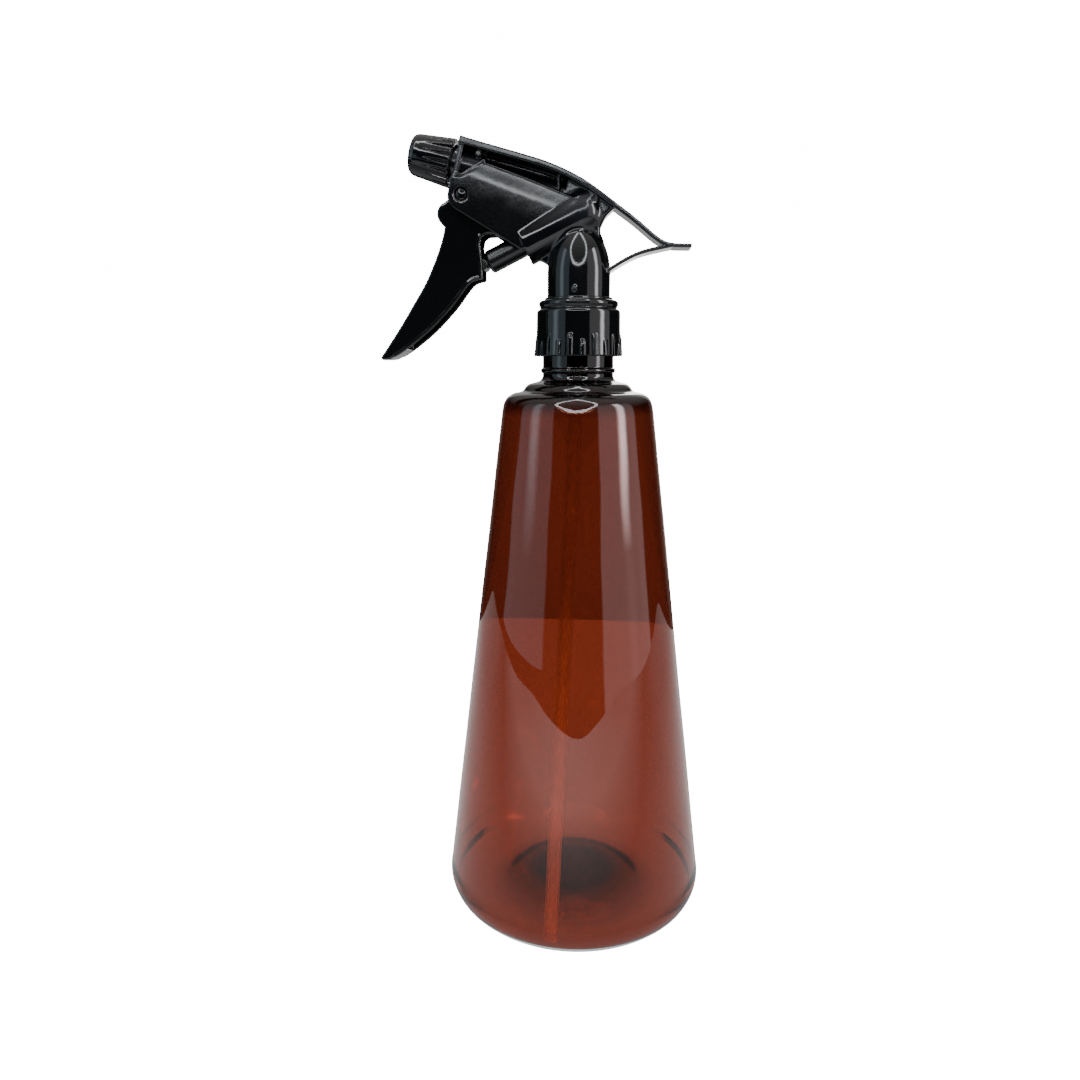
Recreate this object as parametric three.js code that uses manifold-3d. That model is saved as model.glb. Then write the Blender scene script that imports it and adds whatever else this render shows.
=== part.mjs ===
// Trigger spray bottle: a conical amber bottle with a screw closure and a black trigger sprayer.
// Millimetres, +Z up. The bottle stands on z = 0 and the nozzle points towards -X.
// Every length below is measured from the bottle's own axis; one group then centres the whole box.
import * as THREE from 'three';
import { mergeVertices } from 'three/addons/utils/BufferGeometryUtils.js';
import Module from 'manifold-3d';

const wasm = await Module();
wasm.setup();

// ---------------------------------------------------------------- driving dimensions
const GAP = 0.3; // clearance kept wherever two pieces touch

// bottle
const BASE_R = 49;
const CORNER_R = 10;
const CONE_SLOPE = 0.123; // radius lost per millimetre of height
const SHOULDER_Z = 189.2;
const WALL = 0.9;
const NECK_R = 12.5;
const NECK_BORE_R = 10.7;
const NECK_TOP_Z = 219.2;
const FOOT_IN_R = 27.5;
const PUSH_UP = 6;

// 28 mm neck thread, six turns to the inch
const NECK_PITCH = 25.4 / 6;
const NECK_THREAD_Z = 210.9;
const NECK_THREAD_TURNS = 1.5;
const CLOSURE_THREAD_DROP = 1.75; // the closure's thread runs this far below the neck's

// closure
const SKIRT_BOTTOM_Z = 207.6;
const SKIRT_BORE_R = 13.85;
const RIBS = 22;
const RIB_R = 15.66;
const GASKET_R = 12.45; // passes inside the closure's thread

// sprayer
const SHANK_R = 10.9;
const SHANK_BORE_R = 8.9;
const FLANGE_R = 13.2;
const FLANGE_Z = [220.9, 222.6];
const VALVE_Z = 232.3; // top of the shank's wide bore
const HEAD_HALF = 7.4; // half the width over the cheeks
const CAVITY_HALF = 5.95;
const ROOF_HALF = 7.6;
const TAIL_HALF = 5;
const TAIL_REACH = 38.1;

// pump: its axis rises towards +X
const PUMP_TILT = THREE.MathUtils.degToRad(26);
const PUMP_ORIGIN = [-32.5, 238.9]; // x and z of the point where the axis length is counted from
const BARREL_R = HEAD_HALF;
const CHAMBER_R = 6;
const MOUTH_S = 14.7;
const CHAMBER_END_S = 36;
const ROD_R = 4;
const PIN_S = -0.85;
const PIN_R = 1.9;

// trigger
const PIVOT = [-39.7, 260.9];
const PIVOT_HOLE_R = 2.3;
const TRUNNION_R = 1.95;
const EYE_R = 3.25; // the trigger's eye round the pivot
const TRIGGER_HALF = 5.6;
const TRIGGER_WALL = 1.2;
const FINGER_FLARE = 1.27; // the finger part is this much wider than the top
const TRIGGER_REACH = 69.5;

// nozzle: its axis rises towards -X
const NOZZLE_TILT = THREE.MathUtils.degToRad(14);
const NOZZLE_ORIGIN = [-41.75, 271.5];
const NOZZLE_PITCH = 2.5;
const CAP_W = [1.6, 16.4];
const CAP_R = [8, 6.6];
const CAP_BORE_R = 6.2;
const FLUTES = 18;

// dip tube
const TUBE_R = 2.5;
const TUBE_BORE_R = 1.7;
const TUBE_END = [-6.2, -41, 4.8];

const AXIS_X = (TRIGGER_REACH - BASE_R) / 2; // puts the middle of the whole length at x = 0

// ---------------------------------------------------------------- solids
// A closed geometry as a manifold solid, with shared corners merged and empty triangles dropped.
function solid(geometry) {
  const bare = geometry.clone();
  bare.deleteAttribute('normal');
  bare.deleteAttribute('uv');
  const merged = mergeVertices(bare, 1e-4);
  const corners = [];
  for (let i = 0; i < merged.index.count; i += 3) {
    const [a, b, c] = [0, 1, 2].map((k) => merged.index.getX(i + k));
    if (a !== b && b !== c && c !== a) {
      corners.push(a, b, c);
    }
  }
  const mesh = new wasm.Mesh({
    numProp: 3,
    vertProperties: new Float32Array(merged.attributes.position.array),
    triVerts: new Uint32Array(corners),
  });
  return new wasm.Manifold(mesh);
}

function join(...solids) {
  return solids.reduce((whole, next) => whole.add(next));
}

function cut(whole, ...tools) {
  return tools.reduce((left, tool) => left.subtract(tool), whole);
}

function geometryOf(shape) {
  const mesh = shape.getMesh();
  const geometry = new THREE.BufferGeometry();
  geometry.setAttribute('position', new THREE.BufferAttribute(new Float32Array(mesh.vertProperties), 3));
  geometry.setIndex(new THREE.BufferAttribute(new Uint32Array(mesh.triVerts), 1));
  geometry.computeVertexNormals();
  return geometry;
}

// ---------------------------------------------------------------- shapes
const points2 = (list) => list.map(([a, b]) => new THREE.Vector2(a, b));

// A body of revolution about +Z from [radius, height] points.
function turned(profile, segments) {
  const geometry = new THREE.LatheGeometry(points2(profile), segments);
  return geometry.rotateX(Math.PI / 2);
}

function turnedSolid(profile, segments) {
  const shape = solid(turned(profile, segments));
  return shape.volume() < 0 ? solid(turned([...profile].reverse(), segments)) : shape;
}

// A solid cylinder about +Z between two heights.
function rod(radius, low, high, segments = 24) {
  return turnedSolid([[0, low], [radius, low], [radius, high], [0, high]], segments);
}

// A side-view outline in x and z, thick from -half to +half in y.
function slab(outline, half) {
  const geometry = new THREE.ExtrudeGeometry(new THREE.Shape(points2(outline)), {
    depth: 2 * half,
    bevelEnabled: false,
  });
  return geometry.rotateX(Math.PI / 2).translate(0, half, 0);
}

const slabSolid = (outline, half) => solid(slab(outline, half));

// Points on a smooth curve through the given side-view points.
function smooth(outline, count) {
  return new THREE.SplineCurve(points2(outline)).getPoints(count).map((p) => [p.x, p.y]);
}

// The outline of a strip that hangs below a smooth top edge, its thickness going from one value to another.
function strip(topEdge, fromThick, toThick, count) {
  const curve = new THREE.SplineCurve(points2(topEdge));
  const top = [];
  const under = [];
  for (let i = 0; i <= count; i++) {
    const t = i / count;
    const p = curve.getPoint(t);
    const along = curve.getTangent(t);
    const thick = THREE.MathUtils.lerp(fromThick, toThick, t);
    top.push([p.x, p.y]);
    under.unshift([p.x + along.y * thick, p.y - along.x * thick]);
  }
  return [...top, ...under];
}

// Widens or narrows a geometry in y by a rule in its other two coordinates.
function widened(geometry, rule) {
  const at = geometry.attributes.position;
  for (let i = 0; i < at.count; i++) {
    at.setY(i, at.getY(i) * rule(at.getX(i), at.getZ(i)));
  }
  return geometry;
}

// A cylinder between two side-view points.
function pipe(from, to, radius, segments) {
  const [dx, dz] = [to[0] - from[0], to[1] - from[1]];
  const geometry = turned([[0, 0], [radius, 0], [radius, Math.hypot(dx, dz)], [0, Math.hypot(dx, dz)]], segments);
  const shape = geometry.rotateY(Math.atan2(dx, dz)).translate(from[0], 0, from[1]);
  return solid(shape);
}

// A helical ridge about +Z: a straight bar bent round, faded out at both ends.
function ridge({ inner, outer, innerWidth, outerWidth, crestOut, pitch, turns, low, stepsPerTurn }) {
  const steps = Math.round(turns * stepsPerTurn);
  const bar = new THREE.BoxGeometry(1, 1, 1, steps, 1, 1);
  const at = bar.attributes.position;
  for (let i = 0; i < at.count; i++) {
    const along = at.getX(i) + 0.5;
    const isOuter = at.getZ(i) > 0;
    const fade = Math.min(1, 0.35 + (along * steps) / 3, 0.35 + ((1 - along) * steps) / 3);
    const full = isOuter ? outer : inner;
    const buried = crestOut ? inner : outer;
    const radius = isOuter === crestOut ? THREE.MathUtils.lerp(buried, full, fade) : full;
    const turn = along * turns * 2 * Math.PI;
    const height = low + pitch * turns * along + at.getY(i) * (isOuter ? outerWidth : innerWidth);
    at.setXYZ(i, radius * Math.cos(turn), radius * Math.sin(turn), height);
  }
  return solid(bar);
}

// A coil spring about +Z, its wire ends inside the given heights.
class Helix extends THREE.Curve {
  constructor(radius, low, high, turns) {
    super();
    Object.assign(this, { radius, low, high, turns });
  }

  getPoint(t, target = new THREE.Vector3()) {
    const turn = t * this.turns * 2 * Math.PI;
    const height = THREE.MathUtils.lerp(this.low, this.high, t);
    return target.set(this.radius * Math.cos(turn), this.radius * Math.sin(turn), height);
  }
}

function coil({ radius, wire, low, high, turns, stepsPerTurn }) {
  const section = new THREE.Shape(circle(wire / 2, 6));
  return new THREE.ExtrudeGeometry(section, {
    extrudePath: new Helix(radius, low + wire / 2, high - wire / 2, turns),
    steps: Math.round(turns * stepsPerTurn),
    bevelEnabled: false,
  });
}

function circle(radius, sides) {
  const at = (i) => (i / sides) * 2 * Math.PI;
  return Array.from({ length: sides }, (_, i) => new THREE.Vector2(radius * Math.cos(at(i)), radius * Math.sin(at(i))));
}

// The pump's and the nozzle's own frames, with their axes along +Z.
const pumpPlace = new THREE.Matrix4()
  .makeTranslation(PUMP_ORIGIN[0], 0, PUMP_ORIGIN[1])
  .multiply(new THREE.Matrix4().makeRotationY(Math.PI / 2 - PUMP_TILT));
const nozzlePlace = new THREE.Matrix4()
  .makeTranslation(NOZZLE_ORIGIN[0], 0, NOZZLE_ORIGIN[1])
  .multiply(new THREE.Matrix4().makeRotationY(NOZZLE_TILT - Math.PI / 2));

function placed(shape, matrix) {
  return shape.transform(matrix.elements);
}

const alongY = new THREE.Matrix4().makeRotationX(Math.PI / 2);

// A cylinder across the sprayer, centred on y = 0 at a side-view point.
function crossPin(radius, half, [x, z], segments) {
  const matrix = new THREE.Matrix4().makeTranslation(x, 0, z).multiply(alongY);
  return placed(rod(radius, -half, half, segments), matrix);
}

// ---------------------------------------------------------------- bottle
function coneRadius(z) {
  return BASE_R - CONE_SLOPE * (z - CORNER_R);
}

// An arc of the base corner, from the foot to the cone, `inset` inside the outer skin.
function cornerArc(inset, count) {
  const last = Math.atan(CONE_SLOPE);
  const arc = [];
  for (let i = 0; i <= count; i++) {
    const angle = THREE.MathUtils.lerp(-Math.PI / 2, last, i / count);
    const radius = CORNER_R - inset;
    arc.push([BASE_R - CORNER_R + radius * Math.cos(angle), CORNER_R + radius * Math.sin(angle)]);
  }
  return arc;
}

function makeBottle() {
  const outside = [
    [0, PUSH_UP],
    [13, PUSH_UP - 0.5],
    [22, PUSH_UP - 2.6],
    [FOOT_IN_R, 0],
    ...cornerArc(0, 5),
    [coneRadius(SHOULDER_Z), SHOULDER_Z],
    [26.3, 191.5],
    [24.9, 193.5],
    [22.6, 194.8],
    [20.2, 195.4],
    [18.9, 196.5],
    [17.4, 198],
    [14.4, 198.9],
    [NECK_R, 200.2],
    [NECK_R, 201.6],
    [13.25, 202],
    [13.25, 203.3],
    [NECK_R, 203.7],
    [NECK_R, NECK_TOP_Z - 0.5],
    [NECK_R - 0.5, NECK_TOP_Z],
  ];
  const inside = [
    [NECK_BORE_R, NECK_TOP_Z],
    [NECK_BORE_R, 199.4],
    [13.9, 197.9],
    [16.9, 197],
    [18.4, 195.4],
    [22.2, 193.8],
    [24.2, 192.6],
    [25.3, 190.9],
    [coneRadius(SHOULDER_Z) - WALL, SHOULDER_Z - 0.5],
    ...cornerArc(WALL, 4).reverse(),
    [FOOT_IN_R + 0.3, WALL],
    [22.3, PUSH_UP - 1.7],
    [13, PUSH_UP + WALL - 0.5],
    [0, PUSH_UP + WALL],
  ];
  const thread = ridge({
    inner: NECK_R - 0.5,
    outer: 13.55,
    innerWidth: 2.5,
    outerWidth: 1.1,
    crestOut: true,
    pitch: NECK_PITCH,
    turns: NECK_THREAD_TURNS,
    low: NECK_THREAD_Z,
    stepsPerTurn: 20,
  });
  return join(turnedSolid([...outside, ...inside], 40), thread);
}

// ---------------------------------------------------------------- closure and gasket
function makeClosure() {
  const shell = turnedSolid([
    [SKIRT_BORE_R, SKIRT_BOTTOM_Z],
    [15, SKIRT_BOTTOM_Z],
    [14.7, 216.2],
    [14.6, 222.7],
    [14.1, 223.3],
    [13.3, 223.6],
    [13.4, 224.2],
    [13.85, 224.6],
    [13.85, 225.9],
    [13.3, 226.4],
    [11.9, 226.5],
    [11.8, 227.4],
    [SHANK_R + 0.35, 227.4],
    [SHANK_R + 0.35, FLANGE_Z[1] + GAP],
    [SKIRT_BORE_R - 0.6, FLANGE_Z[1] + GAP],
    [SKIRT_BORE_R, FLANGE_Z[1] - 0.4],
    [SKIRT_BORE_R, SKIRT_BOTTOM_Z],
  ], 40);
  const thread = ridge({
    inner: 12.85,
    outer: SKIRT_BORE_R + 0.3,
    innerWidth: 0.7,
    outerWidth: 1.6,
    crestOut: false,
    pitch: NECK_PITCH,
    turns: 1.25,
    low: NECK_THREAD_Z - CLOSURE_THREAD_DROP,
    stepsPerTurn: 20,
  });
  const ribs = Array.from({ length: RIBS }, (_, i) => {
    const top = i % 2 ? 213.2 : 215.2;
    const side = [[14.3, SKIRT_BOTTOM_Z], [RIB_R, SKIRT_BOTTOM_Z], [15.2, top - 2], [14.75, top], [14.3, top]];
    return solid(slab(side, 0.7).rotateZ((i / RIBS) * 2 * Math.PI));
  });
  return join(shell, thread, ...ribs);
}

function makeGasket() {
  const z = [NECK_TOP_Z + GAP, FLANGE_Z[0] - GAP];
  return turned([[9.4, z[0]], [GASKET_R, z[0]], [GASKET_R, z[1]], [9.4, z[1]], [9.4, z[0]]], 32);
}

// ---------------------------------------------------------------- sprayer body
const ROOF_EDGE = [
  [-39.6, 279.2],
  [-33.7, 277.4],
  [-17.3, 272.7],
  [-9.1, 270],
  [-0.9, 266.3],
  [7.3, 261.4],
  [18.3, 253.6],
  [26.6, 246.9],
  [31, 244.9],
  [TAIL_REACH, 244.4],
];
const LOWER_TAIL_EDGE = [[9, 236.2], [16, 240.3], [22, 242.7], [31, 244.6]];
const PANEL = [
  [-43.7, 263.6],
  [-42.7, 266.9],
  [-39.3, 266.6],
  [-31.8, 270.9],
  [-17, 265.6],
  [-1.9, 259.6],
  [2.5, 258],
  [-0.2, 254.8],
  [-16.3, 246.8],
  [-18.6, 242.3],
  [-42.5, 256.6],
  [-43.9, 258.2],
  [-44.5, 260.4],
];
const CAVITY = [
  [-50, 236],
  [-50, 262.9],
  [-43.8, 263],
  [-42.3, 265.2],
  [-38.9, 265.3],
  [-31.6, 269.4],
  [-17.5, 264.3],
  [-6, 259.6],
  [-6, 236],
];
const REAR_SPINE = [
  [1, 244],
  [8.2, 245.8],
  [7.4, 247.9],
  [7.1, 250],
  [7.7, 251.9],
  [9.1, 253.9],
  [12.4, 256.9],
  [7, 260.4],
  [-4, 266.5],
  [-6, 258],
];
const DUCT = [[-40, 271.2], [0.5, 259.6]];

function roofHalf(x) {
  return THREE.MathUtils.lerp(ROOF_HALF, TAIL_HALF, THREE.MathUtils.smoothstep(x, 0, 14));
}

function makeShank() {
  return turnedSolid([
    [0, FLANGE_Z[0]],
    [FLANGE_R, FLANGE_Z[0]],
    [FLANGE_R, FLANGE_Z[1]],
    [SHANK_R, FLANGE_Z[1]],
    [SHANK_R, 236],
    [10.4, 239.6],
    [9.6, 242.6],
    [8.2, 246],
    [6.2, 249.1],
    [3.6, 250.7],
    [0, 251.2],
  ], 32);
}

function makeNozzleMount() {
  const housing = rod(5.3, -9, -0.8, 20);
  const plateOutline = [];
  for (const [cx, cy, from] of [[5, 5.6, 0], [-5, 5.6, 1], [-5, -5.6, 2], [5, -5.6, 3]]) {
    for (let i = 0; i <= 3; i++) {
      const angle = ((from + i / 3) * Math.PI) / 2;
      plateOutline.push([cx + 2.2 * Math.cos(angle), cy + 2.2 * Math.sin(angle)]);
    }
  }
  // the plate's outline is across the axis: its first coordinate is up in the nozzle's frame, its second is y
  const plate = new THREE.ExtrudeGeometry(
    new THREE.Shape(points2(plateOutline.map(([wide, tall]) => [tall, wide]))),
    { depth: 1.2, bevelEnabled: false },
  ).translate(0, 0, -1.6);
  const spout = turnedSolid([[0, -1], [5.2, -1], [5.2, 8.4], [4.8, 9], [0, 9]], 20);
  const thread = ridge({
    inner: 4.9,
    outer: 5.85,
    innerWidth: 1.3,
    outerWidth: 0.6,
    crestOut: true,
    pitch: NOZZLE_PITCH,
    turns: 1.5,
    low: 2.4,
    stepsPerTurn: 16,
  });
  return placed(join(housing, solid(plate), spout, thread), nozzlePlace);
}

function makeSprayerBody() {
  const head = cut(slabSolid(PANEL, HEAD_HALF), slabSolid(CAVITY, CAVITY_HALF));
  const roof = solid(widened(slab(strip(ROOF_EDGE, 2.4, 1.2, 22), 1), roofHalf));
  const lowerTail = slabSolid(strip(LOWER_TAIL_EDGE, 1.2, 1.2, 8), TAIL_HALF);
  const ductWeb = slabSolid([[-39.5, 278], [-39.5, 270], [0, 259], [4, 262.5], [-9, 269], [-34, 276.6]], 1.2);
  const gusset = slabSolid([[-16, 239.2], [-14, 240.3], [-10.2, 238.3], [-5, 238.3], [-5, 250], [-14, 246]], 2.6);
  const barrel = placed(
    turnedSolid([
      [0, MOUTH_S],
      [BARREL_R, MOUTH_S],
      [BARREL_R, 37.4],
      [6.8, 40.2],
      [5.2, 42.2],
      [2.8, 43.3],
      [0, 43.6],
    ], 32),
    pumpPlace,
  );
  const outside = join(
    head,
    roof,
    lowerTail,
    ductWeb,
    gusset,
    slabSolid(REAR_SPINE, 3.8),
    barrel,
    makeShank(),
    pipe(DUCT[0], DUCT[1], 3.5, 20),
    makeNozzleMount(),
  );
  const chamber = placed(rod(CHAMBER_R, MOUTH_S - 1, CHAMBER_END_S, 28), pumpPlace);
  const outletChamber = placed(join(rod(2.3, -8, 0, 16), rod(3.6, -1, 10, 20)), nozzlePlace);
  return cut(
    outside,
    chamber,
    outletChamber,
    rod(SHANK_BORE_R, FLANGE_Z[0] - 1, VALVE_Z, 28), // holds the tube retainer
    rod(2.7, VALVE_Z - 1, 237.6, 16), // cage of the inlet ball
    rod(1.5, 237, 259.4, 10), // riser
    pipe([0, 259.4], [-35, 269.6], 1.2, 8), // discharge duct
    crossPin(PIVOT_HOLE_R, 12, PIVOT, 20),
  );
}

// ---------------------------------------------------------------- inlet: retainer, ball and dip tube
function makeRetainer() {
  return turned([
    [TUBE_R + 0.25, 220.2],
    [8.6, 220.2],
    [8.6, VALVE_Z - GAP - 0.4],
    [8.2, VALVE_Z - GAP],
    [1.5, VALVE_Z - GAP],
    [1.2, 231.2],
    [1.2, 229.8],
    [TUBE_R + 0.25, 229.8],
    [TUBE_R + 0.25, 220.2],
  ], 28);
}

function makeDipTube() {
  const path = new THREE.CurvePath();
  const bend = new THREE.Vector3(0, 0, 221);
  path.add(new THREE.LineCurve3(new THREE.Vector3(0, 0, 229.4), bend));
  path.add(new THREE.CubicBezierCurve3(
    bend,
    new THREE.Vector3(0, 0, 196),
    new THREE.Vector3(TUBE_END[0] * 0.62, TUBE_END[1] * 0.62, 80),
    new THREE.Vector3(...TUBE_END),
  ));
  const section = new THREE.Shape(circle(TUBE_R, 10));
  section.holes.push(new THREE.Path(circle(TUBE_BORE_R, 8).reverse()));
  return new THREE.ExtrudeGeometry(section, { extrudePath: path, steps: 20, bevelEnabled: false });
}

// ---------------------------------------------------------------- trigger
const TRIGGER_FRONT = [
  [-45.9, 250.6],
  [-46.9, 246.6],
  [-49.1, 240.7],
  [-52.9, 232.6],
  [-57.9, 224.5],
  [-63.2, 216.2],
  [-TRIGGER_REACH, 207.2],
];
const TRIGGER_REAR = [
  [-66.5, 206.5],
  [-61.3, 209.2],
  [-52, 216.2],
  [-43.8, 224.4],
  [-37.6, 232],
  [-33.2, 233.8],
];

// A side-view arc about a centre, angles in degrees from +X.
function arc([x, z], radius, from, to, count) {
  const at = (i) => THREE.MathUtils.degToRad(THREE.MathUtils.lerp(from, to, i / count));
  return Array.from({ length: count + 1 }, (_, i) => [x + radius * Math.cos(at(i)), z + radius * Math.sin(at(i))]);
}

// Straight sides down to the cheeks' lower edge, then wider for the fingers.
function fingerFlare(x, z) {
  return THREE.MathUtils.lerp(FINGER_FLARE, 1, THREE.MathUtils.smoothstep(z, 220, 237));
}

function makeTrigger() {
  const outline = [
    ...smooth(TRIGGER_FRONT, 14),
    [-68.6, 206.2],
    ...smooth(TRIGGER_REAR, 12),
    [-33.2, 238],
    [-34, 244.5],
    [-33.4, 247.2],
    [-31.6, 248.3],
    [-27.4, 248.5],
    [-27.2, 250.4],
    ...arc(PIVOT, EYE_R, -20, 180, 10),
    ...arc([-44.3, 254.9], 4.1, 110, 215, 7),
  ];
  const wall = TRIGGER_WALL + 0.2;
  const insideFront = smooth(TRIGGER_FRONT.slice(0, -1), 12).map(([x, z], i) => [x + wall + i * 0.03, z - i * 0.02]);
  const hollow = [...insideFront, [-61.4, 214.6], [-60, 205], [-20, 225], [-20, 247], [-34, 250], [-42, 249.6]];
  const sides = cut(
    solid(widened(slab(outline, TRIGGER_HALF), fingerFlare)),
    solid(widened(slab(hollow, TRIGGER_HALF - TRIGGER_WALL), fingerFlare)),
    slabSolid([[-35.2, 255], [-26, 247], [-26, 252.5], [-33.5, 258]], TRIGGER_HALF - TRIGGER_WALL),
  );
  // two seats that hold the ends of the piston's cross pin, open towards the pump
  const seats = cut(
    slabSolid([[-47.5, 234.6], [-34.4, 234.6], [-35.1, 243], [-47.5, 243]], TRIGGER_HALF - 0.6),
    slabSolid([[-60, 230], [-30, 230], [-30, 246], [-60, 246]], 2.7),
    placed(
      solid(new THREE.BoxGeometry(5.4, 20, 10).translate(0, 0, PIN_S - 2.25 + 5)),
      pumpPlace,
    ),
  );
  return join(sides, seats, crossPin(TRUNNION_R, HEAD_HALF - GAP, PIVOT, 18));
}

// ---------------------------------------------------------------- pump pieces, about the pump's axis
function makePistonRod() {
  const shaft = turnedSolid([
    [0, 1],
    [3.6, 1],
    [ROD_R, 1.5],
    [ROD_R, 16.4],
    [3, 16.4],
    [3, 22],
    [2.6, 22.4],
    [0, 22.4],
  ], 20);
  const tongue = solid(new THREE.BoxGeometry(3.6, 4.6, 3.4).translate(0, 0, PIN_S + 1.7));
  const pin = placed(rod(PIN_R, -4.1, 4.1, 14), new THREE.Matrix4().makeTranslation(0, 0, PIN_S).multiply(alongY));
  return join(shaft, tongue, pin);
}

function makePistonCup() {
  const rim = CHAMBER_R - GAP;
  return turned([
    [3.3, 16.8],
    [4.8, 16.8],
    [rim, 16.2],
    [rim, 17.2],
    [5, 18.2],
    [5, 20.4],
    [rim, 21.4],
    [rim, 22.4],
    [4.8, 21.8],
    [3.3, 21.8],
    [3.3, 16.8],
  ], 24);
}

const RETURN_SPRING = { radius: 4.3, wire: 0.8, low: 22.8, high: 35.6, turns: 5, stepsPerTurn: 12 };

// ---------------------------------------------------------------- nozzle pieces, about the nozzle's axis
// Grooves round the cap that fade out towards its front.
function fluted(geometry) {
  const at = geometry.attributes.position;
  for (let i = 0; i < at.count; i++) {
    const [x, y, w] = [at.getX(i), at.getY(i), at.getZ(i)];
    const radius = Math.hypot(x, y);
    if (radius > CAP_BORE_R + 0.1 && w < 13) {
      const groove = Math.abs(Math.sin((Math.atan2(y, x) * FLUTES) / 2)) < 0.1 ? 0.55 : 0;
      const depth = groove * (1 - THREE.MathUtils.smoothstep(w, 4, 13));
      const keep = (radius - depth) / radius;
      at.setXY(i, x * keep, y * keep);
    }
  }
  return geometry;
}

function makeNozzleCap() {
  const shell = solid(fluted(turned([
    [CAP_BORE_R, CAP_W[0]],
    [CAP_R[0] - 0.4, CAP_W[0]],
    [CAP_R[0], CAP_W[0] + 0.5],
    [7.7, 5],
    [7.25, 9.5],
    [CAP_R[1] + 0.3, 13.2],
    [CAP_R[1] - 0.1, 15],
    [CAP_R[1] - 0.8, 16],
    [CAP_R[1] - 2, CAP_W[1]],
    [2.6, CAP_W[1]],
    [1.8, 14.6],
    [0.7, 14.4],
    [0.7, 12.6],
    [5.1, 12.6],
    [5.1, 11.2],
    [CAP_BORE_R, 10.6],
    [CAP_BORE_R, CAP_W[0]],
  ], FLUTES * 3)));
  const thread = ridge({
    inner: 5.5,
    outer: CAP_BORE_R + 0.3,
    innerWidth: 0.4,
    outerWidth: 0.9,
    crestOut: false,
    pitch: NOZZLE_PITCH,
    turns: 1.25,
    low: 2.4 + NOZZLE_PITCH / 2,
    stepsPerTurn: 16,
  });
  return join(shell, thread);
}

function makeNozzleSeal() {
  return turned([[1.4, 11.3], [4.8, 11.3], [4.8, 12.3], [1.4, 12.3], [1.4, 11.3]], 20);
}

function makeSwirlPlug() {
  return turned([
    [0, 2.8],
    [1.9, 2.8],
    [1.9, -0.6],
    [3.3, -0.6],
    [3.3, 7.6],
    [2.6, 8.4],
    [1.7, 8.6],
    [1.7, 9.4],
    [0, 9.6],
  ], 18);
}

function makeSpoutRing() {
  // a ring in the open end of the spout's bore, round the swirl plug's nose
  return turned([[2.2, 8.8], [2.9, 8.8], [2.9, 9.5], [2.2, 9.5], [2.2, 8.8]], 16);
}

const OUTLET_BALL_W = -6.7;
const OUTLET_BALL_R = 1.5;
const OUTLET_SPRING = {
  radius: 1.35,
  wire: 0.4,
  low: OUTLET_BALL_W + OUTLET_BALL_R + GAP,
  high: 2.5,
  turns: 5,
  stepsPerTurn: 8,
};
const INLET_BALL_Z = 234.1;
const INLET_BALL_R = 2.2;

// ---------------------------------------------------------------- materials
const plastic = (color, roughness) => () => new THREE.MeshStandardMaterial({ color, roughness, metalness: 0 });
const blackPlastic = plastic(0x0b0c0d, 0.18);
const naturalPlastic = plastic(0xd9d4c8, 0.45);
const tubePlastic = plastic(0xd8c8b0, 0.35);
const rubber = plastic(0xc9c6c0, 0.7);
const steel = () => new THREE.MeshStandardMaterial({ color: 0xb8babd, roughness: 0.25, metalness: 1 });

function amberPlastic() {
  return new THREE.MeshStandardMaterial({
    color: 0x7a2c14,
    roughness: 0.06,
    metalness: 0,
    transparent: true,
    opacity: 0.6,
  });
}

// ---------------------------------------------------------------- assembly
// Accepts either a geometry or a manifold solid.
function piece(name, shape, material) {
  const body = shape instanceof THREE.BufferGeometry ? solid(shape) : shape;
  const mesh = new THREE.Mesh(geometryOf(body), material());
  mesh.name = name;
  return mesh;
}

function frameGroup(matrix) {
  const frame = new THREE.Group();
  matrix.decompose(frame.position, frame.quaternion, frame.scale);
  return frame;
}

const sphere = (radius, z) => new THREE.SphereGeometry(radius, 12, 8).rotateX(Math.PI / 2).translate(0, 0, z);

const pump = frameGroup(pumpPlace);
pump.add(
  piece('piston_rod', makePistonRod(), blackPlastic),
  piece('piston_cup', makePistonCup(), naturalPlastic),
  piece('return_spring', coil(RETURN_SPRING), steel),
);

const nozzle = frameGroup(nozzlePlace);
nozzle.add(
  piece('nozzle_cap', makeNozzleCap(), blackPlastic),
  piece('nozzle_seal', makeNozzleSeal(), rubber),
  piece('swirl_plug', makeSwirlPlug(), naturalPlastic),
  piece('spout_ring', makeSpoutRing(), rubber),
  piece('outlet_ball', sphere(OUTLET_BALL_R, OUTLET_BALL_W), steel),
  piece('outlet_spring', coil(OUTLET_SPRING), steel),
);

const sprayBottle = new THREE.Group();
sprayBottle.position.x = AXIS_X;
sprayBottle.add(
  piece('bottle', makeBottle(), amberPlastic),
  piece('closure', makeClosure(), blackPlastic),
  piece('neck_gasket', makeGasket(), rubber),
  piece('sprayer_body', makeSprayerBody(), blackPlastic),
  piece('tube_retainer', makeRetainer(), naturalPlastic),
  piece('inlet_ball', sphere(INLET_BALL_R, INLET_BALL_Z), steel),
  piece('dip_tube', makeDipTube(), tubePlastic),
  piece('trigger', makeTrigger(), blackPlastic),
  pump,
  nozzle,
);

const group = new THREE.Group();
group.add(sprayBottle);
export default group;
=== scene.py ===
"""Looks of the trigger spray bottle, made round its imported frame.

Outlines are in millimetres from the bottle's own axis, with +Z up and the nozzle towards -X.
to_frame() turns such points into the frame's metres.
"""

import math

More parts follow.
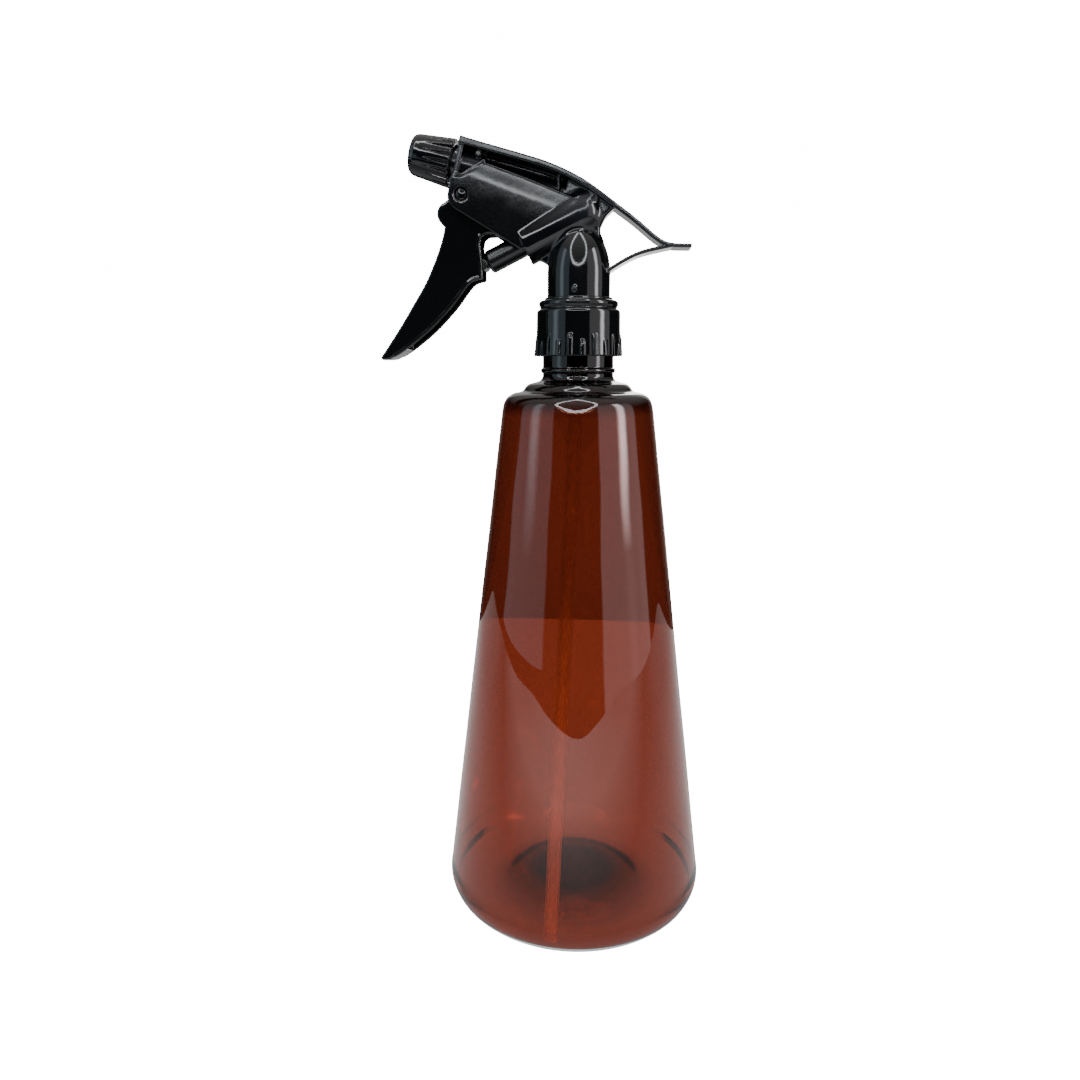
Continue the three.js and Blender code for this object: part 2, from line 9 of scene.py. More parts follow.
import bpy
import numpy as np
from mathutils import Matrix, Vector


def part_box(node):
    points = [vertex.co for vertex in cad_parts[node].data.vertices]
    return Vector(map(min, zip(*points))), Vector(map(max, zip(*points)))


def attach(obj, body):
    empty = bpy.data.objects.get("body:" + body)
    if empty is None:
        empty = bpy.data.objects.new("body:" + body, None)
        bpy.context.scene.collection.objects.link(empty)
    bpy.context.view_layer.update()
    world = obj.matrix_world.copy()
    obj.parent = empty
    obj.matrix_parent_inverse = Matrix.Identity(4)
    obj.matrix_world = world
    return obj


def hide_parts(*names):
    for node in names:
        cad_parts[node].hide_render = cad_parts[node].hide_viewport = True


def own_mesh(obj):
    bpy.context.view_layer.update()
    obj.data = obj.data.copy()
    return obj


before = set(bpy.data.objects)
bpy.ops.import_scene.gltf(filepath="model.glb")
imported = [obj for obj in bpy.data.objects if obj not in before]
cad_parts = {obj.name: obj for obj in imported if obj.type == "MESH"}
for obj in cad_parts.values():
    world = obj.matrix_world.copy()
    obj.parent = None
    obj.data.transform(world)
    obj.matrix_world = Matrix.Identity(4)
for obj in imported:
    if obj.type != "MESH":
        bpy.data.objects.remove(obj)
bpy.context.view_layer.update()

MM = 0.001
BOTTLE_LOW, BOTTLE_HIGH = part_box("bottle")
AXIS_X = (BOTTLE_LOW.x + BOTTLE_HIGH.x) / 2  # the bottle's axis, in metres in the frame
COARSE = 1.0

# -------- dimensions, as in the part
BASE_R = 49
CORNER_R = 10
CONE_SLOPE = 0.123
SHOULDER_Z = 189.2
WALL = 0.9
NECK_R = 12.5
NECK_BORE_R = 10.7
NECK_TOP_Z = 219.2
PUSH_UP = 6
NECK_PITCH = 25.4 / 6
NECK_THREAD_Z = 210.9
NECK_THREAD_TURNS = 1.5
SKIRT_BOTTOM_Z = 207.6
SKIRT_BORE_R = 13.85
RIBS = 22
RIB_R = 15.66
SHANK_R = 10.9
SHANK_BORE_R = 8.9
FLANGE_R = 13.2
FLANGE_Z = (220.9, 222.6)
VALVE_Z = 232.3
HEAD_HALF = 7.4
CAVITY_HALF = 5.95
PUMP_TILT = math.radians(26)
PUMP_ORIGIN = (-32.5, 238.9)
BARREL_R = 7.4
CHAMBER_R = 6
MOUTH_S = 14.7
CHAMBER_END_S = 36
ROD_R = 4
PIN_S = -0.85
PIN_R = 1.9
PIVOT = (-39.7, 260.9)
PIVOT_HOLE_R = 2.3
TRUNNION_R = 1.95
DOME_R = 4  # the trunnions' ends are domed
EYE_R = 3.25
TRIGGER_HALF = 5.6
TRIGGER_WALL = 1.2
FINGER_FLARE = 1.27
NOZZLE_TILT = math.radians(14)
NOZZLE_ORIGIN = (-41.75, 271.5)
NOZZLE_PITCH = 2.5
FLUTES = 18
TUBE_R = 2.5
TUBE_BORE_R = 1.7
TUBE_END = (-6.2, -41, 4.8)
RETURN_SPRING_END = 35.6  # along the pump's axis
OUTLET_SPRING_END = 2.5  # along the nozzle's axis
GAP = 0.3


def side_place(origin, turn):
    """A frame that is turned in the side view."""
    return Matrix.Translation((origin[0], 0, origin[1])) @ Matrix.Rotation(turn, 4, "Y")


# the pump's and the nozzle's own frames, with their axes along +Z
PUMP_PLACE = side_place(PUMP_ORIGIN, math.pi / 2 - PUMP_TILT)
NOZZLE_PLACE = side_place(NOZZLE_ORIGIN, NOZZLE_TILT - math.pi / 2)


def to_frame(points):
    """Millimetres from the bottle's axis, as metres in the frame."""
    return np.asarray(points, float) * MM + (AXIS_X, 0, 0)


def lengths(rows):
    return np.linalg.norm(rows, axis=1)[:, None]


# -------- outlines
def rounded(points, radius, steps=4):
    """A closed outline with each corner rounded by about radius."""
    found = []
    count = len(points)
    for i in range(count):
        before, corner, after = (np.array(points[(i + k) % count], float) for k in (-1, 0, 1))
        back, on = before - corner, after - corner
        reach = min(radius, 0.45 * np.hypot(*back), 0.45 * np.hypot(*on))
        start = corner + back / np.hypot(*back) * reach
        end = corner + on / np.hypot(*on) * reach
        for t in np.linspace(0, 1, steps):
            found.append(start * (1 - t) ** 2 + 2 * corner * t * (1 - t) + end * t**2)
    return np.array(found)


def smooth(points, count):
    """Points on a smooth open curve through the given ones, count to each stretch."""
    points = np.array(points, float)
    padded = np.vstack([2 * points[0] - points[1], points, 2 * points[-1] - points[-2]])
    found = []
    for a, b, c, d in zip(padded, padded[1:], padded[2:], padded[3:]):
        for t in np.arange(count) / count:
            found.append(
                0.5 * (2 * b + (c - a) * t + (2 * a - 5 * b + 4 * c - d) * t**2)
                + 0.5 * (3 * b - a - 3 * c + d) * t**3
            )
    return np.array(found + [points[-1]])


def arc(centre, radius, start, end, count):
    """Points on an arc, with its angles in degrees from the first axis."""
    turn = np.radians(np.linspace(start, end, count + 1))
    return np.c_[centre[0] + radius * np.cos(turn), centre[1] + radius * np.sin(turn)]


def strip(edge, from_thick, to_thick):
    """The outline of a strip that hangs below a smooth top edge."""
    top = smooth(edge, 4)
    along = np.gradient(top, axis=0)
    along /= lengths(along)
    thick = np.linspace(from_thick, to_thick, len(top))[:, None]
    under = top + np.c_[along[:, 1], -along[:, 0]] * thick
    return np.vstack([top, under[::-1]])


# -------- distance fields, in millimetres
def step_between(value, low, high):
    """A smooth step from 0 at low to 1 at high."""
    t = np.clip((value - low) / (high - low), 0, 1)
    return t * t * (3 - 2 * t)


def outline_distance(points, u, v):
    """Signed distance to a closed outline, negative inside."""
    best = np.full(np.broadcast(u, v).shape, np.inf)
    inside = np.zeros(best.shape, bool)
    for (ax, ay), (bx, by) in zip(points, np.roll(points, -1, 0)):
        ex, ey = bx - ax, by - ay
        t = np.clip(((u - ax) * ex + (v - ay) * ey) / (ex * ex + ey * ey + 1e-12), 0, 1)
        best = np.minimum(best, (u - ax - t * ex) ** 2 + (v - ay - t * ey) ** 2)
        if ay != by:
            inside ^= ((ay > v) != (by > v)) & (u < ex * (v - ay) / ey + ax)
    return np.where(inside, -1, 1) * np.sqrt(best)


def line_distance(points, u, v):
    """Distance to an open line through the points."""
    best = np.inf
    for (ax, ay), (bx, by) in zip(points, points[1:]):
        ex, ey = bx - ax, by - ay
        t = np.clip(((u - ax) * ex + (v - ay) * ey) / (ex * ex + ey * ey), 0, 1)
        best = np.minimum(best, np.hypot(u - ax - t * ex, v - ay - t * ey))
    return best


def thick(flat, side, rounding):
    """The solid where both distances are negative, its edges rounded."""
    flat, side = flat + rounding, side + rounding
    outside = np.hypot(np.maximum(flat, 0), np.maximum(side, 0))
    inside = np.minimum(np.maximum(flat, side), 0)
    return outside + inside - rounding


def slab(points, half, rounding, x, y, z):
    """A side-view outline, thick from -half to half in y."""
    return thick(outline_distance(points, x, z), np.abs(y) - half, rounding)


def rod(across, along, radius, low, high, rounding=0.0):
    """A cylinder from its distance across and along its own axis."""
    return thick(across - radius, np.abs(along - (low + high) / 2) - (high - low) / 2, rounding)


def turned(profile, across, along):
    """A solid of revolution from [radius, height] points that start and end on its axis."""
    mirrored = [(-r, h) for r, h in reversed(profile) if r > 0]
    return outline_distance(np.array(list(profile) + mirrored, float), across, along)


def join(a, b, fillet=0.0):
    """Both solids in one, with a fillet where they meet."""
    if not fillet:
        return np.minimum(a, b)
    h = np.clip(0.5 + 0.5 * (b - a) / fillet, 0, 1)
    return b * (1 - h) + a * h - fillet * h * (1 - h)


def cut(a, b, fillet=0.0):
    """The first solid without the second."""
    return -join(-a, b, fillet)


def screw(across, turn, along, root, height, width, pitch, turns, low):
    """A rounded helical ridge; a negative height stands it inwards from the root."""
    best = np.inf
    share = np.mod(turn / (2 * np.pi), 1)
    for lap in range(math.ceil(turns)):
        done = share + lap
        fade = np.clip(np.minimum(done, turns - done) * 8, 0.05, 1)
        rise = np.abs(along - low - pitch * done)
        out = (across - root) / height
        ridge = np.hypot(np.maximum(out, 0) / fade, rise / (width / 2)) - 1
        best = np.minimum(best, np.where(done < turns, ridge, np.inf))
    return best * min(abs(height), width / 2) * 0.8


# -------- meshes
def surface_net(values):
    """One vertex in each cell that the zero surface passes, in cells, and the quads that join them."""
    inside = values < 0
    cells = tuple(n - 1 for n in values.shape)
    total = np.zeros(cells + (3,), np.float32)
    count = np.zeros(cells, np.float32)
    for axis in range(3):
        others = [k for k in range(3) if k != axis]
        for b in (0, 1):
            for c in (0, 1):
                at = [slice(None)] * 3
                at[others[0]] = slice(b, cells[others[0]] + b)
                at[others[1]] = slice(c, cells[others[1]] + c)
                at[axis] = slice(0, cells[axis])
                low = values[tuple(at)]
                at[axis] = slice(1, cells[axis] + 1)
                high = values[tuple(at)]
                cross = (low < 0) != (high < 0)
                share = np.where(cross, low / np.where(cross, low - high, 1), 0)
                total[..., axis] += share
                total[..., others[0]] += b * cross
                total[..., others[1]] += c * cross
                count += cross
    active = count > 0
    number = np.full(cells, -1, np.int64)
    number[active] = np.arange(active.sum())
    vertices = np.argwhere(active) + total[active] / count[active][:, None]
    quads = []
    for axis in range(3):
        others = [(axis + 1) % 3, (axis + 2) % 3]
        at = [slice(1, -1)] * 3
        at[axis] = slice(0, -1)
        low = inside[tuple(at)]
        at[axis] = slice(1, None)
        high = inside[tuple(at)]
        for starts_inside in (True, False):
            edge = np.argwhere((low == starts_inside) & (high != starts_inside))
            for k in others:
                edge[:, k] += 1
            corners = []
            for b, c in ((0, 0), (1, 0), (1, 1), (0, 1)):
                cell = edge.copy()
                cell[:, others[0]] -= b
                cell[:, others[1]] -= c
                corners.append(number[tuple(cell.T)])
            quad = np.stack(corners, 1)
            quads.append(quad if starts_inside else quad[:, ::-1])
    return vertices, np.vstack(quads)


def sampled(fields, at):
    """Values between the grid points, for points given in cells."""
    base = np.floor(at).astype(int)
    share = at - base
    found = 0
    for i in (0, 1):
        for j in (0, 1):
            for k in (0, 1):
                weight = np.prod(np.where((i, j, k), share, 1 - share), axis=1)
                corner = fields[base[:, 0] + i, base[:, 1] + j, base[:, 2] + k]
                found = found + corner * weight[:, None]
    return found


def moulded(field, low, high, cell):
    """The surface where a distance field is zero, as a fine even mesh of quads."""
    cell = cell * COARSE
    start = np.array(low, float) - 2 * cell
    sizes = [int(math.ceil((h - l) / cell)) + 5 for l, h in zip(low, high)]
    x, y, z = (s + np.arange(n) * cell for s, n in zip(start, sizes))
    values = np.broadcast_to(field(x[:, None, None], y[None, :, None], z[None, None, :]), sizes)
    slopes = np.stack(np.gradient(values.astype(np.float32), cell), -1)
    vertices, quads = surface_net(values)
    points = vertices * cell + start
    corners = quads.ravel()
    shared = np.bincount(corners, minlength=len(points))
    for _ in range(3):
        centres = np.repeat(points[quads].mean(1), 4, axis=0)
        even = np.stack([np.bincount(corners, centres[:, k], len(points)) for k in range(3)], 1)
        shift = even / shared[:, None] - points
        slope = sampled(slopes, (points - start) / cell)
        length = lengths(slope)
        normal = slope / np.maximum(length, 0.2)
        points = points + shift - normal * np.sum(shift * normal, axis=1)[:, None]
        off = field(points[:, 0], points[:, 1], points[:, 2])[:, None]
        points = points - normal * np.clip(off / np.maximum(length, 0.5), -cell / 2, cell / 2)
    return points, quads


def placed(points, matrix):
    """Points in a piece's own frame, in millimetres from the bottle's axis."""
    matrix = np.array(matrix)
    return np.asarray(points, float) @ matrix[:3, :3].T + matrix[:3, 3]


def in_scene(name, data):
    made = bpy.data.objects.new(name, data)
    bpy.context.scene.collection.objects.link(made)
    return made


def mesh_object(name, points, faces, material):
    mesh = bpy.data.meshes.new(name)
    mesh.from_pydata(points, [], faces)
    mesh.materials.append(material)
    return in_scene(name, mesh)


def piece(name, points, faces, material, body, slot, *nodes):
    """A smooth mesh in the frame, riding on a body and standing for CAD nodes."""
    faces = faces.tolist() if isinstance(faces, np.ndarray) else faces
    made = mesh_object(name, to_frame(points).tolist(), faces, material)
    made.data.shade_smooth()
    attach(made, body)
    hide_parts(*nodes)
    return made


def ring_faces(rings, around, closed):
    """Quads between rings of points, where the last ring may join the first."""
    faces = []
    for i in range(rings if closed else rings - 1):
        j = (i + 1) % rings
        for k in range(around):
            m = (k + 1) % around
            faces.append((i * around + k, i * around + m, j * around + m, j * around + k))
    return faces


def lathe(profile, segments, push=None):
    """A mesh of revolution from a [radius, height] profile that is closed, or ends on its axis."""
    profile = np.array(profile, float)
    on_axis = [k for k, (r, _) in enumerate(profile) if r < 1e-6]
    body = np.delete(profile, on_axis, axis=0)
    turn = np.arange(segments) / segments * 2 * np.pi
    radius = np.repeat(body[:, :1], segments, axis=1)
    height = np.repeat(body[:, 1:], segments, axis=1)
    if push is not None:
        radius = radius + push(radius, turn[None, :], height)
    points = np.stack([radius * np.cos(turn), radius * np.sin(turn), height], -1).reshape(-1, 3)
    faces = ring_faces(len(body), segments, not on_axis)
    if on_axis:
        tips = len(points)
        points = np.vstack([points, [(0, 0, profile[k][1]) for k in on_axis]])
        last = (len(body) - 1) * segments
        for k in range(segments):
            m = (k + 1) % segments
            faces.append((tips, m, k))
            faces.append((tips + 1, last + k, last + m))
    return points, faces


def swept(path, section, start_side):
    """Rings of section points along a path, each turned as little as it can be from the last."""
    path = np.array(path, float)
    along = np.gradient(path, axis=0)
    along /= lengths(along)
    side = np.array(start_side, float)
    rings = []
    for point, ahead in zip(path, along):
        side = side - ahead * np.dot(side, ahead)
        side /= np.linalg.norm(side)
        up = np.cross(ahead, side)
        rings.append([point + side * a + up * b for a, b in section])
    return np.array(rings)


# -------- materials
class Nodes:
    """Short calls that add nodes to a tree, so that each recipe reads from top to bottom."""

    def __init__(self, owner):
        owner.use_nodes = True
        self.tree = owner.node_tree

    def add(self, kind, **settings):
        node = self.tree.nodes.new(kind)
        for key, value in settings.items():
            setattr(node, key, value)
        return node

    def link(self, source, target):
        self.tree.links.new(source, target)

    def fill(self, socket, value):
        """Links an output to the socket, or sets the socket to a plain value."""
        if hasattr(value, "links"):
            self.link(value, socket)
        else:
            socket.default_value = value

    def put(self, node, **values):
        """Fills inputs by name, with underscores for spaces, and gives the node back."""
        for key, value in values.items():
            self.fill(node.inputs[key.replace("_", " ")], value)
        return node

    def place(self, stretch=(1, 1, 1)):
        """Position in the object's own metres, stretched for streaks."""
        own = self.add("ShaderNodeTexCoord").outputs["Object"]
        return self.put(self.add("ShaderNodeMapping"), Scale=stretch, Vector=own).outputs["Vector"]

    def noise(self, scale, detail=3.0, stretch=(1, 1, 1), rough=0.5):
        node = self.put(self.add("ShaderNodeTexNoise"), Vector=self.place(stretch))
        return self.put(node, Scale=scale, Detail=detail, Roughness=rough).outputs["Fac"]

    def split(self, vector):
        """A vector's outputs X, Y and Z."""
        return self.put(self.add("ShaderNodeSeparateXYZ"), Vector=vector).outputs

    def spread(self, value, low, high, to_low, to_high, **settings):
        """Runs from to_low to to_high while the value goes from low to high, and stops there."""
        node = self.add("ShaderNodeMapRange", clamp=True, **settings)
        self.put(node, From_Min=low, From_Max=high, To_Min=to_low, To_Max=to_high, Value=value)
        return node.outputs["Result"]

    def maths(self, operation, a, b=0.0):
        node = self.add("ShaderNodeMath", operation=operation)
        self.fill(node.inputs[0], a)
        self.fill(node.inputs[1], b)
        return node.outputs[0]

    def mixed(self, share, a, b):
        node = self.add("ShaderNodeMix", data_type="RGBA")
        self.fill(node.inputs["Factor"], share)
        self.fill(node.inputs[6], a)
        self.fill(node.inputs[7], b)
        return node.outputs[2]

    def either(self, share, a, b):
        """The first node's shader where the share is 0, and the second's where it is 1."""
        node = self.put(self.add("ShaderNodeMixShader"), Fac=share)
        self.link(a.outputs[0], node.inputs[1])
        self.link(b.outputs[0], node.inputs[2])
        return node.outputs["Shader"]

    def bump(self, height, distance, strength=1.0, under=None):
        node = self.put(self.add("ShaderNodeBump"), Strength=strength, Distance=distance, Height=height)
        if under is not None:
            self.link(under, node.inputs["Normal"])
        return node.outputs["Normal"]


class Material(Nodes):
    """A material's nodes, starting from its one shader and its output."""

    def __init__(self, name):
        self.material = bpy.data.materials.new(name)
        super().__init__(self.material)
        self.shader = self.tree.nodes["Principled BSDF"]
        self.output = self.tree.nodes["Material Output"]

    def set(self, **values):
        self.put(self.shader, **values)

    def glow(self, colour, strength):
        """Light in place of the surface."""
        node = self.put(self.add("ShaderNodeEmission"), Color=(*colour, 1), Strength=strength)
        self.put(self.output, Surface=node.outputs["Emission"])
        return self.material


BLACK = (0.0022, 0.0024, 0.0026, 1)
WORN_BLACK = (0.0035, 0.0038, 0.0042, 1)
HAZE_AND_SHEEN = (0.017, 0.0195, 0.024, 1)  # a cloudy film of handling on the cheeks, its grey also a painted sheen
ACROSS_PANEL = (0.352, 0, 0.936)  # square to the cheeks' top edge
PANEL_TOP_AT = 0.246  # how far along that direction the edge lies, in metres
HAZE_AND_SHEEN_FULL_TO = 0.002  # below that edge the film and its painted sheen are full, and faint from the next
HAZE_AND_SHEEN_FAINT_FROM = 0.012


def black_plastic(name, gloss=(0.04, 0.08), haze=False):
    """Glossy black moulded plastic; haze adds a cloudy film of handling on the sprayer's cheeks and a
    painted sheen, their colour lightened along the top edge.
    """
    n = Material(name)
    rough = n.spread(n.noise(70, 3), 0.35, 0.7, *gloss)
    colour = n.mixed(n.noise(40, 3), BLACK, WORN_BLACK)
    if haze:
        facing = n.split(n.add("ShaderNodeNewGeometry").outputs["Normal"])
        side = n.spread(n.maths("ABSOLUTE", facing["Y"]), 0.72, 0.97, 0, 1)
        up = n.add("ShaderNodeVectorMath", operation="DOT_PRODUCT")
        n.link(n.place(), up.inputs[0])
        up.inputs[1].default_value = ACROSS_PANEL
        fade = (PANEL_TOP_AT - HAZE_AND_SHEEN_FAINT_FROM, PANEL_TOP_AT - HAZE_AND_SHEEN_FULL_TO)
        edge = n.spread(up.outputs["Value"], *fade, 0.12, 1)
        cheek = n.maths("MULTIPLY", side, edge)
        clouds = n.spread(n.noise(48, 3, (0.7, 1, 1.6)), 0.35, 0.7, 0, 1)
        rough = n.maths("ADD", rough, n.maths("MULTIPLY", cheek, n.spread(clouds, 0, 1, 0.07, 0.2)))
        # painted sheen: the side faces are lightened to grey in clouds along the top edge, standing for a
        # reflection as well as a film
        colour = n.mixed(n.maths("MULTIPLY", cheek, clouds), colour, HAZE_AND_SHEEN)
    ripple = n.bump(n.noise(260, 2), 0.00003)
    grain = n.bump(n.noise(2500, 2), 0.000002, under=ripple)
    n.set(Base_Color=colour, Roughness=rough, Normal=grain, IOR=1.49)
    return n.material


AMBER = (0.49, 0.178, 0.112, 1)
THIN_AMBER = (0.52, 0.195, 0.125, 1)
NECK_AMBER = (0.02, 0.006, 0.005, 1)
# painted shade: the grey-black that darkens the middle of the base, where the table under the push-up lies
# in shade
PUSH_UP_SHADE = (0.015, 0.015, 0.022, 1)
SHADOW_AMBER = (0.72, 0.44, 0.32, 1)  # light that comes through a wall, in place of caustics
NECK_DARKENS = (0.187, 0.194)  # heights, in metres
PUSH_UP_SHADE_REACH = (0.014, 0.034)  # radii of the painted shade over the middle of the base, and its soft border
PUSH_UP_SHADE_HEIGHT = (0.0085, 0.012)


def amber_plastic():
    """Clear amber bottle wall: each wall is two surfaces, so the tint is that of one whole wall."""
    n = Material("amber_bottle")
    thinner = n.spread(n.noise(14, 2, (1, 1, 0.35)), 0.35, 0.65, 0, 1)
    colour = n.mixed(thinner, AMBER, THIN_AMBER)
    height = n.split(n.place())["Z"]
    colour = n.mixed(n.spread(height, *NECK_DARKENS, 0, 1), colour, NECK_AMBER)
    # painted shade over the push-up: darkest in the middle of the base and low down
    out = n.add("ShaderNodeVectorMath", operation="DISTANCE")
    n.link(n.place((1, 1, 0)), out.inputs[0])
    out.inputs[1].default_value = (AXIS_X, 0, 0)
    centre = n.spread(out.outputs["Value"], *PUSH_UP_SHADE_REACH, 1, 0)
    low = n.spread(height, *PUSH_UP_SHADE_HEIGHT, 1, 0)
    colour = n.mixed(n.maths("MULTIPLY", centre, low), colour, PUSH_UP_SHADE)
    flow = n.bump(n.noise(16, 2, (1, 1, 0.3)), 0.0002, 0.35)
    n.set(Base_Color=colour, Roughness=0.0, Transmission_Weight=1.0, IOR=1.5, Normal=flow)
    through = n.put(n.add("ShaderNodeBsdfTransparent"), Color=SHADOW_AMBER)
    shadow = n.add("ShaderNodeLightPath").outputs["Is Shadow Ray"]
    n.put(n.output, Surface=n.either(shadow, n.shader, through))
    return n.material


# painted shade on the dip tube, grey where little light reaches it
TUBE_SHADED = (0.2, 0.16, 0.13, 1)
TUBE_SHADE_HEIGHTS = (0.05, 0.13)  # heights between which a painted shade turns it from pale to grey
TUBE_DENSITY = (0.2, 0.5)  # seen square on, and edge-on


def tube_plastic():
    """See-through polyethylene, darkened higher up by a painted shade and pale low down; its wall looks
    denser where it is seen edge-on.
    """
    n = Material("tube_plastic")
    lines = n.noise(900, 2, (1, 1, 0.02))
    # painted shade: grey higher up, where less light reaches it inside the bottle, pale low down where
    # light comes in from below
    paler = n.spread(n.split(n.place())["Z"], *TUBE_SHADE_HEIGHTS, 1, 0)
    pale = n.mixed(lines, (0.66, 0.54, 0.4, 1), (0.95, 0.82, 0.66, 1))
    rim = n.put(n.add("ShaderNodeLayerWeight"), Blend=0.3)
    n.set(
        Base_Color=n.mixed(paler, TUBE_SHADED, pale),
        Roughness=n.spread(n.noise(200), 0.3, 0.7, 0.26, 0.36),
        Alpha=n.spread(rim.outputs["Facing"], 0.15, 0.8, *TUBE_DENSITY),
        IOR=1.45,
        Normal=n.bump(lines, 0.00001),
    )
    return n.material


def toned(name, tone, darker, lighter, rough, relief, depth, **settings):
    """A plain material: its colour and gloss follow one fine noise, and its relief has its own."""
    n = Material(name)
    value = n.noise(*tone)
    n.set(
        Base_Color=n.mixed(value, darker, lighter),
        Roughness=n.spread(value, 0.3, 0.7, *rough),
        Normal=n.bump(n.noise(*relief), depth),
        **settings,
    )
    return n.material


def natural_plastic():
    """Uncoloured polypropylene, slightly waxy."""
    colours = ((0.72, 0.702, 0.648, 1), (0.8, 0.78, 0.72, 1))
    waxy = {"Subsurface_Weight": 0.15, "Subsurface_Scale": 0.001}
    return toned("natural_plastic", (220, 3), *colours, (0.32, 0.48), (1500, 2), 0.000008, **waxy)


def rubber():
    """The gasket and seals, matt and pale."""
    colours = ((0.52, 0.51, 0.48, 1), (0.64, 0.63, 0.6, 1))
    return toned("soft_seal", (400, 4), *colours, (0.6, 0.8), (3000, 3), 0.000015)


def steel():
    """Balls and springs; the fine streaks are those of drawn wire."""
    colours = ((0.62, 0.63, 0.65, 1), (0.76, 0.77, 0.78, 1))
    drawn = (700, 3, (1, 1, 0.2))
    return toned("steel", drawn, *colours, (0.16, 0.3), drawn, 0.000004, Metallic=1.0)


# -------- bottle
FLOOR = 1.7  # the base is thicker than the wall, and its inner corner tighter
INNER_CORNER_R = 6.0
THREAD_RISE = 1.05
RIPPLE = 0.03  # how far one ripple moves the wall
RIPPLE_RISES = (14, 40)  # heights over which the ripples start, and over which they end
RIPPLE_ENDS = (160, 184)


def cone_radius(z):
    return BASE_R - CONE_SLOPE * (z - CORNER_R)


def neck_thread(radius, turn, height):
    """How far the neck's screw thread stands out of the plain neck."""
    best = np.zeros(np.broadcast(radius, turn).shape)
    share = np.mod(turn / (2 * np.pi), 1)
    for lap in range(2):
        done = share + lap
        fade = step_between(np.minimum(done, NECK_THREAD_TURNS - done), 0, 0.1)
        off = np.abs(height - NECK_THREAD_Z - NECK_PITCH * done)
        best = np.maximum(best, THREAD_RISE * fade * (1 - step_between(off, 0.45, 1.25)))
    return np.where(radius > NECK_R - 0.01, best, 0)


def blown_wall(radius, turn, height):
    """The thread, and the faint ripples that blowing leaves in the wall, the same inside and out."""
    ripple = np.sin(5 * turn + height / 19) + np.sin(9 * turn - height / 11 + 1)
    ripple = ripple + 0.6 * np.sin(14 * turn + height / 7)
    where = step_between(height, *RIPPLE_RISES) * (1 - step_between(height, *RIPPLE_ENDS))
    return neck_thread(radius, turn, height) + RIPPLE * ripple * where


def make_bottle(material):
    slope = math.degrees(math.atan(CONE_SLOPE))
    corner = (BASE_R - CORNER_R, CORNER_R)
    inner_z = FLOOR + INNER_CORNER_R
    inner_set_in = INNER_CORNER_R / math.cos(math.atan(CONE_SLOPE))
    inner_corner = (cone_radius(inner_z) - WALL - inner_set_in, inner_z)
    cone_z = np.linspace(CORNER_R + 1.5, SHOULDER_Z - 3, 40)
    outside = np.vstack([
        smooth([(0, PUSH_UP), (7, PUSH_UP - 0.1), (13, PUSH_UP - 0.5), (22, PUSH_UP - 2.6)], 6),
        smooth([(24.5, 2), (26.6, 0.6), (28.3, 0.05), (30, 0)], 4),
        np.c_[np.linspace(31.5, 38, 5), np.zeros(5)],
        arc(corner, CORNER_R, -90, slope, 20),
        np.c_[cone_radius(cone_z), cone_z],
        smooth([
            (cone_radius(SHOULDER_Z - 2), SHOULDER_Z - 2), (26.85, 189.6), (26.2, 191.9),
            (24.9, 193.6), (23, 194.7), (20.9, 195.2), (19.6, 195.7), (18.7, 196.9),
            (17.4, 198), (15.2, 198.6), (13.5, 199.2), (12.65, 200.4), (NECK_R, 201.5),
        ], 6),
        smooth([(12.55, 201.75), (13, 202), (13.25, 202.65), (13, 203.3), (12.55, 203.6)], 4),
        np.c_[np.full(54, NECK_R), np.linspace(203.9, 218.4, 54)],
        arc((NECK_R - 0.5, NECK_TOP_Z - 0.5), 0.5, 0, 90, 5),
    ])
    inside = np.vstack([
        arc((NECK_BORE_R + 0.3, NECK_TOP_Z - 0.3), 0.3, 90, 180, 4),
        np.c_[np.full(6, NECK_BORE_R), np.linspace(217, 202, 6)],
        smooth([
            (NECK_BORE_R, 200.6), (11.3, 199.2), (12.9, 198.2), (15, 197.7), (16.9, 197.1),
            (18, 196.1), (19, 194.9), (20.6, 194.3), (22.6, 193.8), (24.2, 192.9),
            (25.3, 191.5), (25.95, 189.4),
            (cone_radius(SHOULDER_Z - 2) - WALL, SHOULDER_Z - 2),
        ], 6),
        np.c_[cone_radius(cone_z) - WALL, cone_z][::-1],
        arc(inner_corner, INNER_CORNER_R, slope, -90, 18),
        np.c_[np.linspace(40, 32, 6), np.full(6, FLOOR)],
        smooth([(30.5, FLOOR), (28.8, FLOOR + 0.1), (26.9, FLOOR + 0.6), (24.8, 3.5)], 4),
        smooth([
            (22.3, PUSH_UP - 1.7), (13, PUSH_UP + WALL - 0.5), (7, PUSH_UP + WALL - 0.1),
            (0, PUSH_UP + WALL),
        ], 6),
    ])
    points, faces = lathe(np.vstack([outside, inside]), 192, blown_wall)
    return piece("bottle_wall", points, faces, material, "bottle", "amber_bottle", "bottle")


